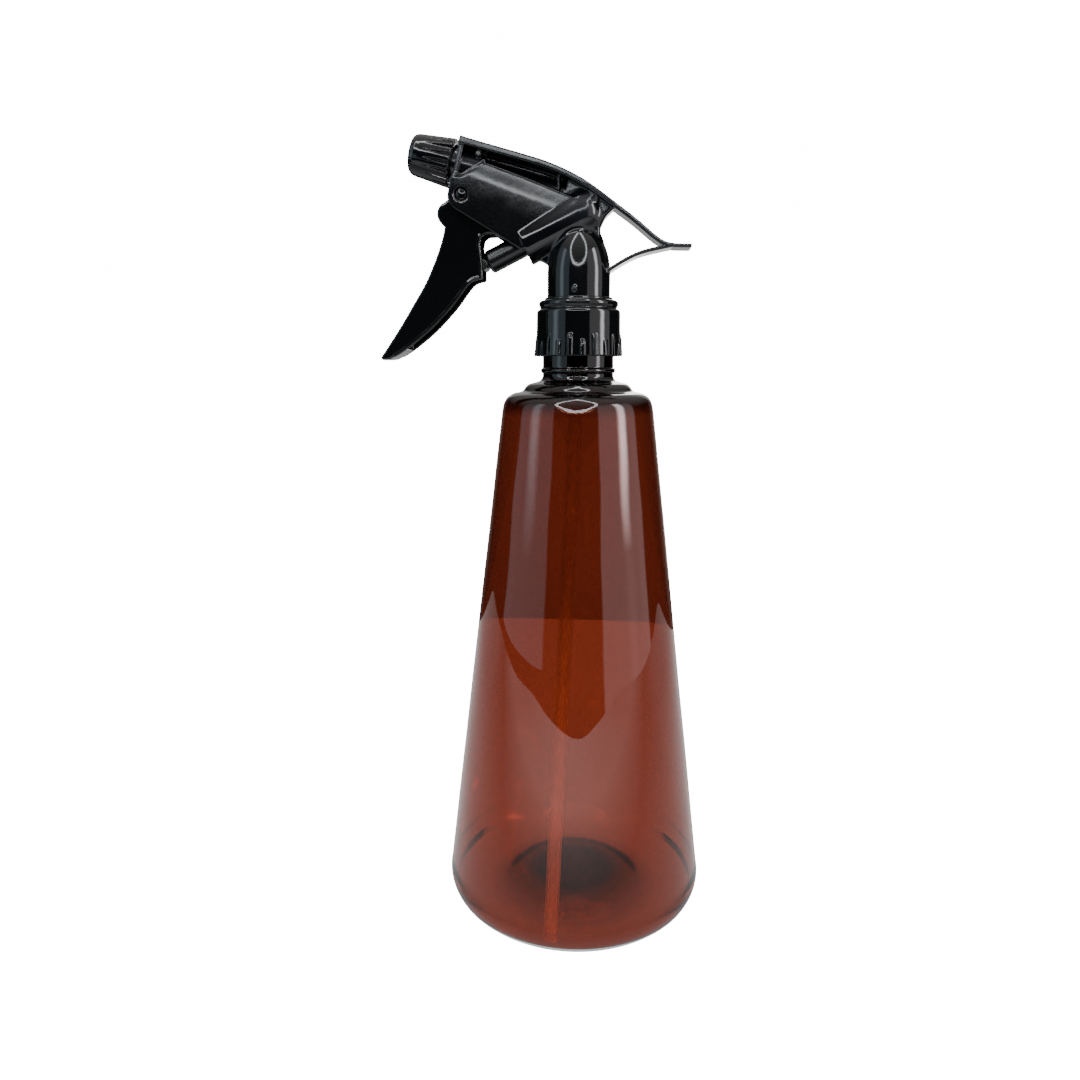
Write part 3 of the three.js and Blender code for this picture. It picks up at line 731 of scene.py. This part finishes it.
# -------- closure and sprayer body
def closure(x, y, z):
    across, turn = np.hypot(x, y), np.arctan2(y, x)
    shell = turned([
        (0, SKIRT_BOTTOM_Z - 3), (14.9, SKIRT_BOTTOM_Z - 3), (15, SKIRT_BOTTOM_Z),
        (14.7, 216.2), (14.6, 222.4), (14.45, 222.95), (14.1, 223.3), (13.6, 223.5),
        (13.35, 223.8), (13.5, 224.3), (13.85, 224.8), (13.85, 225.6), (13.6, 226.15),
        (13.1, 226.45), (11.95, 226.5), (11.8, 227.4), (0, 227.4),
    ], across, z)
    for tops, shift in ((215.2, 0), (213.2, 1)):
        sector = 4 * np.pi / RIBS
        off = np.mod(turn - shift * sector / 2 + sector / 2, sector) - sector / 2
        side = [(13.9, SKIRT_BOTTOM_Z - 3), (RIB_R, SKIRT_BOTTOM_Z - 3), (RIB_R, SKIRT_BOTTOM_Z)]
        side += [(15.2, tops - 1.6), (14.9, tops - 0.4), (14.4, tops), (13.9, tops)]
        rib = thick(
            outline_distance(side, across * np.cos(off), z),
            np.abs(across * np.sin(off)) - 0.72,
            0.3,
        )
        shell = join(shell, rib, 0.35)
    shell = cut(shell, z - SKIRT_BOTTOM_Z, 0.3)
    bore = rod(across, z, SKIRT_BORE_R, SKIRT_BOTTOM_Z - 5, FLANGE_Z[1] + GAP, 0.5)
    shell = cut(shell, join(bore, across - SHANK_R - 0.35))
    low = NECK_THREAD_Z - 1.75
    thread = screw(across, turn, z, SKIRT_BORE_R + 0.1, -1.05, 1.3, NECK_PITCH, 1.25, low)
    return join(shell, np.maximum(thread, across - SKIRT_BORE_R - 0.3), 0.2)


ROOF_EDGE = [
    (-39.6, 279.2), (-33.7, 277.4), (-17.3, 272.7), (-9.1, 270), (-0.9, 266.3), (7.3, 261.4),
    (18.3, 253.6), (26.6, 246.9), (31, 244.9), (38.1, 244.4),
]
LOWER_TAIL_EDGE = [(9, 236.2), (16, 240.3), (22, 242.7), (31, 244.6)]
PANEL = [
    (-43.7, 263.6), (-42.7, 266.9), (-39.3, 266.6), (-31.8, 270.9), (-17, 265.6),
    (-1.9, 259.6), (2.5, 258), (-0.2, 254.8), (-16.3, 246.8), (-18.6, 242.3), (-42.5, 256.6),
    (-43.9, 258.2), (-44.5, 260.4),
]
CAVITY = [
    (-50, 236), (-50, 262.9), (-43.8, 263), (-42.3, 265.2), (-38.9, 265.3), (-31.6, 269.4),
    (-17.5, 264.3), (-6, 259.6), (-6, 236),
]
REAR_SPINE = [
    (1, 244), (8.2, 245.8), (7.4, 247.9), (7.1, 250), (7.7, 251.9), (9.1, 253.9),
    (12.4, 256.9), (7, 260.4), (-4, 266.5), (-6, 258),
]
DUCT = [(-37.5, 270.5), (0.5, 259.6)]
DUCT_R = 3.5
PANEL_TOP = [(-31.8, 270.9), (2.5, 258)]


def tilted(x, z, origin, tilt):
    """Distances along and above an axis that rises from its origin, in the side view."""
    dx, dz = x - origin[0], z - origin[1]
    c, s = math.cos(tilt), math.sin(tilt)
    return dx * c + dz * s, dz * c - dx * s


def pump_axis(x, z):
    return tilted(x, z, PUMP_ORIGIN, PUMP_TILT)


def nozzle_axis(x, z):
    """As the pump's, but pointing towards -X."""
    return tilted(-x, z, (-NOZZLE_ORIGIN[0], NOZZLE_ORIGIN[1]), NOZZLE_TILT)


def cheek_half(x, z):
    """Half the width over the cheeks: drawn in towards the rear and rolled over along the top edge."""
    (ax, az), (bx, bz) = PANEL_TOP
    length = math.hypot(bx - ax, bz - az)
    below = ((x - ax) * (bz - az) - (z - az) * (bx - ax)) / length
    roll = 0.3 * (1 - step_between(below, 0, 6))
    return HEAD_HALF - 1.1 * step_between(x, -30, -1) - roll * step_between(x, -44, -36)


def head(x, y, z):
    """The two cheeks with the hollow between them, and the thin rim along their upper front edge."""
    half = cheek_half(x, z)
    cheeks = slab(rounded(PANEL, 1.2), half, 0.6, x, y, z)
    rim_line = line_distance([(-43.4, 265.2), (-42.1, 267.1), (-39.3, 267), (-31.8, 271.2)], x, z)
    rim = np.hypot(rim_line, np.abs(y) - HEAD_HALF + 0.75) - 0.6
    return join(cheeks, rim, 0.35), np.minimum(CAVITY_HALF, half - 0.95)


def nozzle_mount(x, y, z):
    """Front plate, housing and threaded spout, about the nozzle's axis."""
    w, u = nozzle_axis(x, z)
    across, turn = np.hypot(u, y), np.arctan2(y, -u)
    housing = rod(across, w, 5.3, -9, -0.8, 0.8)
    plate_edge = np.hypot(np.maximum(np.abs(u) - 5.6, 0), np.maximum(np.abs(y) - 5, 0)) - 2.2
    plate = thick(plate_edge, np.abs(w + 1) - 0.6, 0.35)
    lip = thick(np.abs(plate_edge + 0.35) - 0.35, np.abs(w + 1.35) - 0.75, 0.2)
    spout = rod(across, w, 5.2, -1, 9, 0.5)
    thread = screw(across, turn, w, 5.15, 0.7, 1.2, NOZZLE_PITCH, 1.5, 2.4)
    return join(join(housing, join(plate, lip, 0.3), 0.6), join(spout, thread, 0.15), 0.3)


def shank(x, y, z):
    profile = np.vstack([
        [(0, FLANGE_Z[0]), (FLANGE_R, FLANGE_Z[0]), (FLANGE_R, FLANGE_Z[1]), (SHANK_R, FLANGE_Z[1])],
        smooth([
            (SHANK_R, 234.5), (10.8, 237.4), (10.35, 240.4), (9.5, 243.4), (8.2, 246.2),
            (6.3, 248.8), (3.6, 250.6), (0, 251.2),
        ], 3),
    ])
    gate = np.sqrt((x + 0.9) ** 2 + (y + SHANK_R - 0.5) ** 2 + ((z - 229.6) / 1.5) ** 2) - 0.9
    return join(turned(profile.tolist(), np.hypot(x, y), z), gate, 0.25)


def barrel(x, y, z):
    s, t = pump_axis(x, z)
    profile = np.vstack([
        [(0, MOUTH_S), (BARREL_R - 0.3, MOUTH_S), (BARREL_R, MOUTH_S + 0.3)],
        smooth([(BARREL_R, 36.4), (7.15, 38.8), (6.4, 40.8), (5, 42.4), (2.8, 43.3), (0, 43.6)], 3),
    ])
    return turned(profile.tolist(), np.hypot(t, y), s)


def sprayer_body(x, y, z):
    """Cheeks, roof, duct, barrel, shank, spine and tail, moulded in one and then bored."""
    cheeks, hollow_half = head(x, y, z)
    body = cut(cheeks, slab(CAVITY, hollow_half, 0.4, x, y, z), 0.2)
    roof_half = 7.6 - 2.6 * step_between(x, 0, 14)
    roof = slab(strip(ROOF_EDGE, 2.4, 1.2), roof_half, 0.3, x, y, z)
    web_side = [(-39.5, 278), (-39.5, 270), (0, 259), (4, 262.5), (-9, 269), (-34, 276.6)]
    web = slab(web_side, 1.2, 0.2, x, y, z)
    duct = np.hypot(line_distance(DUCT, x, z), y) - DUCT_R
    cross_rib = slab([(-7.5, 260), (-7.1, 269.5), (-6.3, 269.2), (-6.6, 260)], 5.2, 0.25, x, y, z)
    stud = rod(np.hypot(x + 33.8, z - 273.8), np.abs(y), 1.15, -6, 5.6, 0.35)
    upper = join(join(roof, web, 1.0), join(duct, cross_rib, 0.4), 0.6)
    upper = join(upper, stud, 0.5)
    knee_line = line_distance([(0.2, 258.7), (4.4, 259.9)], x, z)
    knee = np.hypot(knee_line, np.maximum(np.abs(y) - 3.1, 0)) - 2.75
    spine = slab(rounded(REAR_SPINE, 1.5), 3.8, 1.1, x, y, z)
    gusset_side = [(-16, 239.2), (-14, 240.3), (-10.2, 238.3), (-5, 238.3), (-5, 250), (-14, 246)]
    gusset = slab(gusset_side, 2.6, 0.4, x, y, z)
    lower_tail = slab(strip(LOWER_TAIL_EDGE, 1.2, 1.2), 5, 0.2, x, y, z)
    stem = join(join(barrel(x, y, z), shank(x, y, z), 1.5), gusset, 0.9)
    stem = join(join(stem, spine, 1.6), knee, 0.9)
    body = join(join(body, stem, 0.7), join(upper, lower_tail), 0.7)
    body = join(body, nozzle_mount(x, y, z), 0.3)
    for hole in sprayer_holes(x, y, z):
        body = cut(body, hole)
    return body


def sprayer_holes(x, y, z):
    """Pump chamber, outlet bore, valve seat, riser, discharge duct and pivot hole."""
    s, t = pump_axis(x, z)
    w, u = nozzle_axis(x, z)
    pump_r, nozzle_r, shank_r = np.hypot(t, y), np.hypot(u, y), np.hypot(x, y)
    yield rod(pump_r, s, CHAMBER_R, MOUTH_S - 2, CHAMBER_END_S, 0.3)
    yield rod(nozzle_r, w, 2.3, -8, 0)
    yield rod(nozzle_r, w, 3.6, -1, 12)
    yield rod(shank_r, z, SHANK_BORE_R, FLANGE_Z[0] - 2, VALVE_Z, 0.2)
    yield rod(shank_r, z, 2.7, VALVE_Z - 1, 237.6, 0.2)
    yield rod(shank_r, z, 1.5, 237, 259.4)
    yield np.hypot(line_distance([(0, 259.4), (-35, 269.6)], x, z), y) - 1.2
    yield np.hypot(x - PIVOT[0], z - PIVOT[1]) - PIVOT_HOLE_R


# -------- trigger
TRIGGER_FRONT = [
    (-45.9, 250.6), (-46.9, 246.6), (-49.1, 240.7), (-52.9, 232.6), (-57.9, 224.5),
    (-63.2, 216.2), (-69.5, 207.2),
]
TRIGGER_REAR = [
    (-66.5, 206.5), (-61.3, 209.2), (-52, 216.2), (-43.8, 224.4), (-37.6, 232), (-33.2, 233.8),
]



def finger_flare(z):
    return FINGER_FLARE + (1 - FINGER_FLARE) * step_between(z, 200, 238)


def trigger(x, y, z):
    rear = smooth(TRIGGER_REAR, 4)
    outline = np.vstack([
        smooth(TRIGGER_FRONT, 4),
        [(-69.4, 206.6), (-68.6, 206.2)],
        rear,
        [(-33.2, 238), (-34, 244.5), (-33.4, 247.2), (-31.6, 248.3), (-27.4, 248.5), (-27.2, 250.4)],
        arc(PIVOT, EYE_R, -20, 180, 16),
        arc((-44.3, 254.9), 4.1, 110, 215, 9),
    ])
    half = TRIGGER_HALF * finger_flare(z)
    body = slab(outline, half, 0.75, x, y, z)
    wall = TRIGGER_WALL + 0.2
    front = smooth(TRIGGER_FRONT[:-1], 4)
    inset = np.arange(len(front)) / 2
    front = front + np.c_[wall + inset * 0.03, -inset * 0.02]
    rear_opening = [(-61.4, 214.6), (-60, 205), (-20, 225), (-20, 247), (-34, 250), (-42, 249.6)]
    hollow = np.vstack([front, rear_opening])
    body = cut(body, slab(hollow, half - TRIGGER_WALL, 0.6, x, y, z), 0.25)
    ear_gap = [(-35.2, 255), (-26, 247), (-26, 252.5), (-33.5, 258)]
    body = cut(body, slab(ear_gap, TRIGGER_HALF - TRIGGER_WALL, 0, x, y, z))
    bead_line = np.vstack([rear[2:], [(-33.2, 238), (-34, 244.5), (-33.4, 247.2)]])
    bead_line = bead_line + (-0.45, 0.35)
    bead = np.hypot(line_distance(bead_line, x, z), np.abs(y) - half + 0.45) - 0.6
    body = join(body, bead, 0.25)
    s, t = pump_axis(x, z)
    seat_side = [(-47.5, 234.6), (-34.4, 234.6), (-35.1, 243), (-47.5, 243)]
    seats = slab(seat_side, TRIGGER_HALF - 0.6, 0.2, x, y, z)
    seats = cut(seats, np.abs(y) - 2.7)
    seats = cut(seats, np.maximum(np.abs(t) - 2.7, PIN_S - 2.25 - s))
    body = join(body, seats, 0.3)
    across = np.hypot(x - PIVOT[0], z - PIVOT[1])
    end = HEAD_HALF - 0.1
    dome = np.hypot(across, np.abs(y) - end + DOME_R) - DOME_R
    trunnion = np.maximum(rod(across, y, TRUNNION_R, -end, end), dome)
    return join(body, trunnion, 0.2)


# -------- cap and piston rod, about their own axes
def nozzle_cap(x, y, z):
    across, turn = np.hypot(x, y), np.arctan2(y, x)
    cap = turned([
        (0, 1.6), (7.55, 1.6), (7.9, 1.75), (8, 2.1), (7.7, 5), (7.25, 9.5), (6.95, 12.8),
        (6.75, 14.4), (6.4, 15.4), (5.8, 16.05), (5, 16.35), (4.2, 16.4), (2.8, 16.4),
        (2.5, 16.2), (1.8, 14.8), (1.5, 14.5), (0, 14.4),
    ], across, z)
    sector = 2 * np.pi / FLUTES
    off = np.mod(turn + sector / 2, sector) - sector / 2
    surface = 8.1 - 0.083 * z
    depth = 0.85 * (1 - step_between(z, 4, 13.2)) - 0.25 * step_between(z, 11, 13.5)
    groove = np.abs(across * np.sin(off)) * 0.8 - (across - surface + depth) * 0.6
    cap = cut(cap, groove, 0.12)
    bore = join(rod(across, z, 6.2, -2, 10.7, 0.2), rod(across, z, 5.1, -2, 12.6, 0.1))
    cap = cut(cap, join(bore, across - 0.7))
    thread = screw(across, turn, z, 6.3, -0.8, 0.9, NOZZLE_PITCH, 1.25, 2.4 + NOZZLE_PITCH / 2)
    return join(cap, np.maximum(thread, across - 6.5), 0.1)


def piston_rod(x, y, z):
    across = np.hypot(x, y)
    shaft = turned([
        (0, 1), (3.2, 1), (ROD_R - 0.1, 1.7), (ROD_R, 2), (ROD_R, 16), (ROD_R - 0.4, 16.4),
        (3, 16.4), (3, 22), (2.6, 22.4), (0, 22.4),
    ], across, z)
    tongue = thick(np.abs(x) - 1.8, np.maximum(np.abs(y) - 2.3, np.abs(z - PIN_S - 1.7) - 1.7), 0.3)
    pin = rod(np.hypot(x, z - PIN_S), y, PIN_R, -4.1, 4.1, 0.3)
    return join(shaft, join(tongue, pin, 0.3), 0.3)


# -------- hidden turned pieces, tube and springs
def closed_ring(profile, radius=0.18):
    """A ring's section with softly rounded corners."""
    return rounded(profile, radius, 3)


def ball(radius, height):
    """A fine ball's profile, from pole to pole."""
    turn = np.radians(np.linspace(-90, 90, 25))
    return np.c_[np.abs(radius * np.cos(turn)).round(9), height + radius * np.sin(turn)]


def make_coil(name, radius, wire, low, high, place, material, node, turns=5, around=12):
    """A spring of round wire between two heights on its own axis."""
    count = turns * 48
    turn = np.linspace(0, turns * 2 * np.pi, count + 1)
    height = np.linspace(low + wire / 2, high - wire / 2, count + 1)
    path = np.c_[radius * np.cos(turn), radius * np.sin(turn), height]
    section = arc((0, 0), wire / 2, 0, 360, around)[:-1]
    rings = swept(path, section, (1, 0, 0))
    faces = ring_faces(len(rings), around, False)
    faces.append(list(range(around))[::-1])
    faces.append(list(range((len(rings) - 1) * around, len(rings) * around)))
    points = placed(rings.reshape(-1, 3), place)
    return piece(name, points, faces, material, "sprayer", "steel", node)


def make_dip_tube(material):
    """The tube starts straight down from the sprayer and bends over to the front of the base."""
    bend = np.array((0, 0, 221.0))
    end = np.array(TUBE_END, float)
    t = np.linspace(0, 1, 97)[:, None]
    pull_a = np.array((0, 0, 196.0))
    pull_b = np.array((end[0] * 0.62, end[1] * 0.62, 80))
    curve = bend * (1 - t) ** 3 + 3 * pull_a * t * (1 - t) ** 2
    curve = curve + 3 * pull_b * t**2 * (1 - t) + end * t**3
    path = np.vstack([[(0, 0, z) for z in (229.4, 227, 224.5, 222.5)], curve])
    around = 32
    turn = arc((0, 0), 1, 0, 360, around)[:-1]
    outer = swept(path, turn * TUBE_R, (1, 0, 0)).reshape(-1, 3)
    inner = swept(path, turn * TUBE_BORE_R, (1, 0, 0)).reshape(-1, 3)
    count = len(path)
    faces = ring_faces(count, around, False)
    faces += [tuple(k + count * around for k in reversed(f)) for f in ring_faces(count, around, False)]
    for ring in (0, count - 1):
        for k in range(around):
            m = (k + 1) % around
            a, b = ring * around + k, ring * around + m
            c, d = a + count * around, b + count * around
            faces.append((b, a, c, d) if ring == 0 else (a, b, d, c))
    points = np.vstack([outer, inner])
    return piece("dip_tube_fine", points, faces, material, "sprayer", "tube_plastic", "dip_tube")


def make_pieces():
    black = black_plastic("black_plastic")
    # the cheeks carry a film of handling and a painted sheen along their top edge
    hazed = black_plastic("black_plastic_haze_and_sheen", haze=True)
    satin = black_plastic("black_plastic_satin", gloss=(0.24, 0.32))
    natural = natural_plastic()
    seal = rubber()
    metal = steel()
    here = Matrix.Identity(4)

    make_bottle(amber_plastic())
    mouldings = [
        ("closure_moulding", closure, (-16, -16, 207), (16, 16, 228), 0.28,
         here, black, "closure", "closure"),
        ("sprayer_moulding", sprayer_body, (-53, -13.5, 220), (39, 13.5, 283), 0.4,
         here, hazed, "sprayer", "sprayer_body"),
        ("trigger_moulding", trigger, (-71, -8, 205), (-26, 8, 266), 0.35,
         here, black, "trigger", "trigger"),
        ("nozzle_cap_moulding", nozzle_cap, (-8.5, -8.5, 1), (8.5, 8.5, 17), 0.22,
         NOZZLE_PLACE, black, "nozzle", "nozzle_cap"),
        ("piston_rod_moulding", piston_rod, (-4.5, -4.5, -3.2), (4.5, 4.5, 23), 0.25,
         PUMP_PLACE, satin, "piston", "piston_rod"),
    ]
    for name, field, low, high, cell, place, material, body, node in mouldings:
        points, faces = moulded(field, low, high, cell)
        piece(name, placed(points, place), faces, material, body, "black_plastic", node)
    make_dip_tube(tube_plastic())

    rim = CHAMBER_R - GAP
    cup = closed_ring([
        (3.3, 16.8), (4.8, 16.8), (rim, 16.2), (rim, 17.2), (5, 18.2), (5, 20.4),
        (rim, 21.4), (rim, 22.4), (4.8, 21.8), (3.3, 21.8),
    ])
    retainer = closed_ring([
        (2.75, 220.2), (8.6, 220.2), (8.6, 231.6), (8.2, 232), (1.5, 232),
        (1.2, 231.2), (1.2, 229.8), (2.75, 229.8),
    ])
    plug = [
        (0, 2.8), (1.9, 2.8), (1.9, -0.5), (2, -0.6), (3.2, -0.6), (3.3, -0.5), (3.3, 7.6),
        (2.6, 8.4), (1.8, 8.6), (1.7, 8.8), (1.7, 9.4), (0, 9.6),
    ]
    rings = [
        ("neck_gasket_ring", [(9.4, 219.5), (12.45, 219.5), (12.45, 220.6), (9.4, 220.6)], here, seal,
         "neck_seal", "soft_seal", "neck_gasket"),
        ("tube_retainer_turning", retainer, here, natural, "sprayer", "natural_plastic", "tube_retainer"),
        ("piston_cup_ring", cup, PUMP_PLACE, natural, "piston", "natural_plastic", "piston_cup"),
        ("nozzle_seal_ring", [(1.4, 11.3), (4.8, 11.3), (4.8, 12.3), (1.4, 12.3)], NOZZLE_PLACE, seal,
         "nozzle_seat", "soft_seal", "nozzle_seal"),
        ("swirl_plug_turning", plug, NOZZLE_PLACE, natural, "sprayer", "natural_plastic", "swirl_plug"),
        ("spout_ring_seal", [(2.2, 8.8), (2.9, 8.8), (2.9, 9.5), (2.2, 9.5)], NOZZLE_PLACE, seal,
         "sprayer", "soft_seal", "spout_ring"),
        ("inlet_ball_fine", ball(2.2, 234.1), here, metal, "inlet_valve", "steel", "inlet_ball"),
        ("outlet_ball_fine", ball(1.5, -6.7), NOZZLE_PLACE, metal, "outlet_valve", "steel", "outlet_ball"),
    ]
    for name, profile, place, material, body, slot, node in rings:
        section = closed_ring(profile) if len(profile) == 4 else profile
        points, faces = lathe(section, 72)
        piece(name, placed(points, place), faces, material, body, slot, node)
    spring = make_coil(
        "return_spring_coil", 4.3, 0.8, 22.8, RETURN_SPRING_END, PUMP_PLACE, metal, "return_spring"
    )
    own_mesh(spring)
    spring = make_coil(
        "outlet_spring_coil", 1.35, 0.4, -4.9, OUTLET_SPRING_END, NOZZLE_PLACE, metal, "outlet_spring"
    )
    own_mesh(spring)


# -------- stage, light and camera
PANEL_DISTANCE = 0.95  # metres, as are the lengths of the table, floor and lamps
TABLE_SIDE = 0.75
TABLE_BACK = 0.35
TABLE_FRONT = 0.45
TABLE_FRONT_LEFT = 0.4  # the front corners are cut back
TABLE_FRONT_RIGHT = 0.45
TABLE_CORNER_R = 0.1
TABLE_DROP = 0.0003  # below the floor that the camera sees
FLOOR_OUTLINE = [(-6, -6), (6, -6), (6, 6), (-6, 6)]
CORE_RISES = (0.12, 0.28)  # heights over which a window's core comes up to its full strength
FRAME_CENTRE_Z = 0.2
FRAME_TURN = 38  # degrees either side of straight ahead
FRAME_RISE = (18, 90)  # degrees above the level, from its low end to its high one
FRAME_COLOUR = (0.93, 0.97, 1)
OVERHEAD_AT = (0.1, 0.05, 1.6)
OVERHEAD_SIZE = 1.6
OVERHEAD_WATTS = 16
BACKDROP_STRENGTH = 20  # of the white that the camera sees, and of the floor below it
FLOOR_STRENGTH = 19.0
REAR_SHARE = 0.3  # of the rear glow, for rays that have not passed through a wall
CAMERA_AT = (12.35, -296.05, 204)  # millimetres from the bottle's axis
CAMERA_TILT = 78  # degrees up from straight down
CAMERA_TURN = 5
CAMERA_SENSOR = 36  # millimetres, as is the lens
CAMERA_LENS = 27.17


def stage_piece(name, points, faces, material, seen=False):
    """A mesh of the set: seen by the camera alone, or by every ray but the camera's."""
    made = mesh_object(name, points, faces, material)
    made.visible_camera = seen
    for rays in ("diffuse", "glossy", "transmission", "volume_scatter", "shadow"):
        setattr(made, "visible_" + rays, not seen)
    return made


def sheet(name, outline, height, material, seen=False):
    """A level sheet inside an outline."""
    corners = [(x, y, height) for x, y in outline]
    return stage_piece(name, corners, [tuple(range(len(corners)))], material, seen)


def glow_across(n, half, edge, core, core_at, core_half):
    """Strength over a panel: a dim body with soft borders and a brighter upright core."""
    at = n.split(n.place())
    body = n.spread(n.maths("ABSOLUTE", at["X"]), half * 0.9, half, edge, 0)
    off = n.maths("ABSOLUTE", n.maths("SUBTRACT", at["X"], core_at))
    peak = n.spread(off, 0, core_half, core, 0, interpolation_type="SMOOTHERSTEP")
    high = n.spread(at["Z"], *CORE_RISES, 0.02, 1)
    return n.maths("ADD", body, n.maths("MULTIPLY", peak, high))


def softbox(name, azimuth, spread, low, colour, edge, core, core_azimuth, core_spread, high=1.0):
    """An upright glowing panel beside the bottle. Azimuth 0 is the camera's side and 90 the right."""
    half = PANEL_DISTANCE * math.tan(math.radians(spread / 2))
    core_at = PANEL_DISTANCE * math.tan(math.radians(core_azimuth - azimuth))
    core_half = PANEL_DISTANCE * math.radians(core_spread / 2)
    n = Material(name + "_glow")
    glow = n.glow(colour, glow_across(n, half, edge, core, core_at, core_half))
    corners = [(-half, 0, low), (half, 0, low), (half, 0, high), (-half, 0, high)]
    made = stage_piece(name, corners, [(0, 1, 2, 3)], glow)
    turn = math.radians(azimuth)
    made.location = (AXIS_X + PANEL_DISTANCE * math.sin(turn), -PANEL_DISTANCE * math.cos(turn), 0)
    made.rotation_euler = (0, 0, turn)
    return made


def ceiling_frame(radius, width, strength):
    """A thin lit ring over the camera's side, which the rounded edges mirror as outlines."""
    step = np.arange(96) / 96 * 2 * np.pi
    turn = np.radians(FRAME_TURN) * np.sin(step)
    middle, swing = sum(FRAME_RISE) / 2, (FRAME_RISE[1] - FRAME_RISE[0]) / 2
    rise = np.radians(middle - swing * np.cos(step))
    centre = np.array((AXIS_X, 0, FRAME_CENTRE_Z))
    out = np.c_[np.sin(turn) * np.cos(rise), -np.cos(turn) * np.cos(rise), np.sin(rise)]
    along = np.roll(out, -1, 0) - np.roll(out, 1, 0)
    across = np.cross(out, along)
    across /= lengths(across)
    at = centre + out * radius
    rings = np.stack([at - across * width / 2, at + across * width / 2], 1)
    faces = ring_faces(len(step), 2, True)[::2]
    glow = Material("frame_glow").glow(FRAME_COLOUR, strength)
    return stage_piece("ceiling_frame", rings.reshape(-1, 3).tolist(), faces, glow)


def make_floor():
    """The white ground that only the camera sees."""
    n = Material("pale_floor")
    n.set(
        Base_Color=n.mixed(n.noise(3, 2), (0.86, 0.86, 0.86, 1), (0.9, 0.9, 0.9, 1)),
        Roughness=0.9,
        Emission_Color=(1, 1, 1, 1),
        Emission_Strength=FLOOR_STRENGTH,
    )
    sheet("floor", FLOOR_OUTLINE, 0, n.material, seen=True)


def make_table():
    """The table that every ray but the camera's meets; it takes no lamp light but glows with painted light
    and shade.
    """
    n = Material("table_painted_light")
    at = n.split(n.place())
    # painted light and shade by place: dimmest a little in front of the bottle, as if in its shadow,
    # brighter further forward and behind, and dimmer towards the sides
    behind = n.spread(at["Y"], -0.1, 0.05, 0.45, 0.8)
    front = n.spread(at["Y"], -0.1, -0.24, 0, 1.05)
    aside = n.spread(n.maths("ABSOLUTE", at["X"]), 0.05, 0.4, 1.1, 0.65)
    lit = n.glow((0.94, 0.97, 1.0), n.maths("MULTIPLY", n.maths("ADD", behind, front), aside))
    outline = rounded([
        (TABLE_SIDE, TABLE_BACK), (-TABLE_SIDE, TABLE_BACK), (-TABLE_SIDE, 0),
        (-TABLE_FRONT_LEFT, -TABLE_FRONT), (TABLE_FRONT_RIGHT, -TABLE_FRONT),
    ], TABLE_CORNER_R)
    sheet("table", outline, -TABLE_DROP, lit)


def make_windows():
    softbox(
        "left_window", azimuth=-61, spread=58, low=-0.03, colour=(0.72, 0.89, 1.0),
        edge=0.78, core=2.0, core_azimuth=-62, core_spread=26,
    )
    softbox(
        "right_window", azimuth=64, spread=65, low=-0.12, colour=(1.0, 0.96, 1.0),
        edge=1.15, core=12.0, core_azimuth=70, core_spread=22,
    )
    behind = softbox(
        "rear_window", azimuth=180, spread=50, low=-0.1, colour=(1.0, 1.0, 1.0),
        edge=0.6, core=5.0, core_azimuth=174, core_spread=16,
    )
    behind.visible_transmission = False  # it lights the back, and is not seen through the bottle


def make_overhead():
    light = bpy.data.lights.new("overhead", "AREA")
    light.shape = "DISK"
    light.size = OVERHEAD_SIZE
    light.energy = OVERHEAD_WATTS
    lamp = in_scene("overhead", light)
    lamp.location = OVERHEAD_AT
    lamp.visible_camera = False
    lamp.visible_glossy = False


def make_world():
    """White to the camera; to all other rays a dark room with a glow behind and one overhead."""
    world = bpy.data.worlds.new("studio")
    bpy.context.scene.world = world
    n = Nodes(world)
    n.tree.nodes.clear()
    toward = n.split(n.add("ShaderNodeTexCoord").outputs["Generated"])
    rear = n.spread(toward["Y"], 0.75, 0.97, 0.03, 0.42)
    high = n.spread(toward["Z"], 0.25, 0.85, 0, 0.8)
    rays = n.add("ShaderNodeLightPath").outputs
    share = n.spread(rays["Is Transmission Ray"], 0, 1, REAR_SHARE, 1)
    lit = n.maths("ADD", n.maths("MULTIPLY", rear, share), high)
    room = n.put(n.add("ShaderNodeBackground"), Color=(1, 0.97, 0.95, 1), Strength=lit)
    white = n.put(n.add("ShaderNodeBackground"), Strength=BACKDROP_STRENGTH)
    seen = n.either(rays["Is Camera Ray"], room, white)
    n.put(n.add("ShaderNodeOutputWorld"), Surface=seen)


def make_camera():
    data = bpy.data.cameras.new("camera")
    data.sensor_width = CAMERA_SENSOR
    data.lens = CAMERA_LENS
    data.clip_start = 0.01
    camera = in_scene("camera", data)
    camera.location = to_frame(CAMERA_AT)
    camera.rotation_euler = (math.radians(CAMERA_TILT), 0, math.radians(CAMERA_TURN))
    bpy.context.scene.camera = camera


make_camera()
make_world()
make_floor()
make_table()
make_windows()
make_overhead()
ceiling_frame(radius=1.1, width=0.085, strength=12)
make_pieces()

bpy.context.view_layer.update()
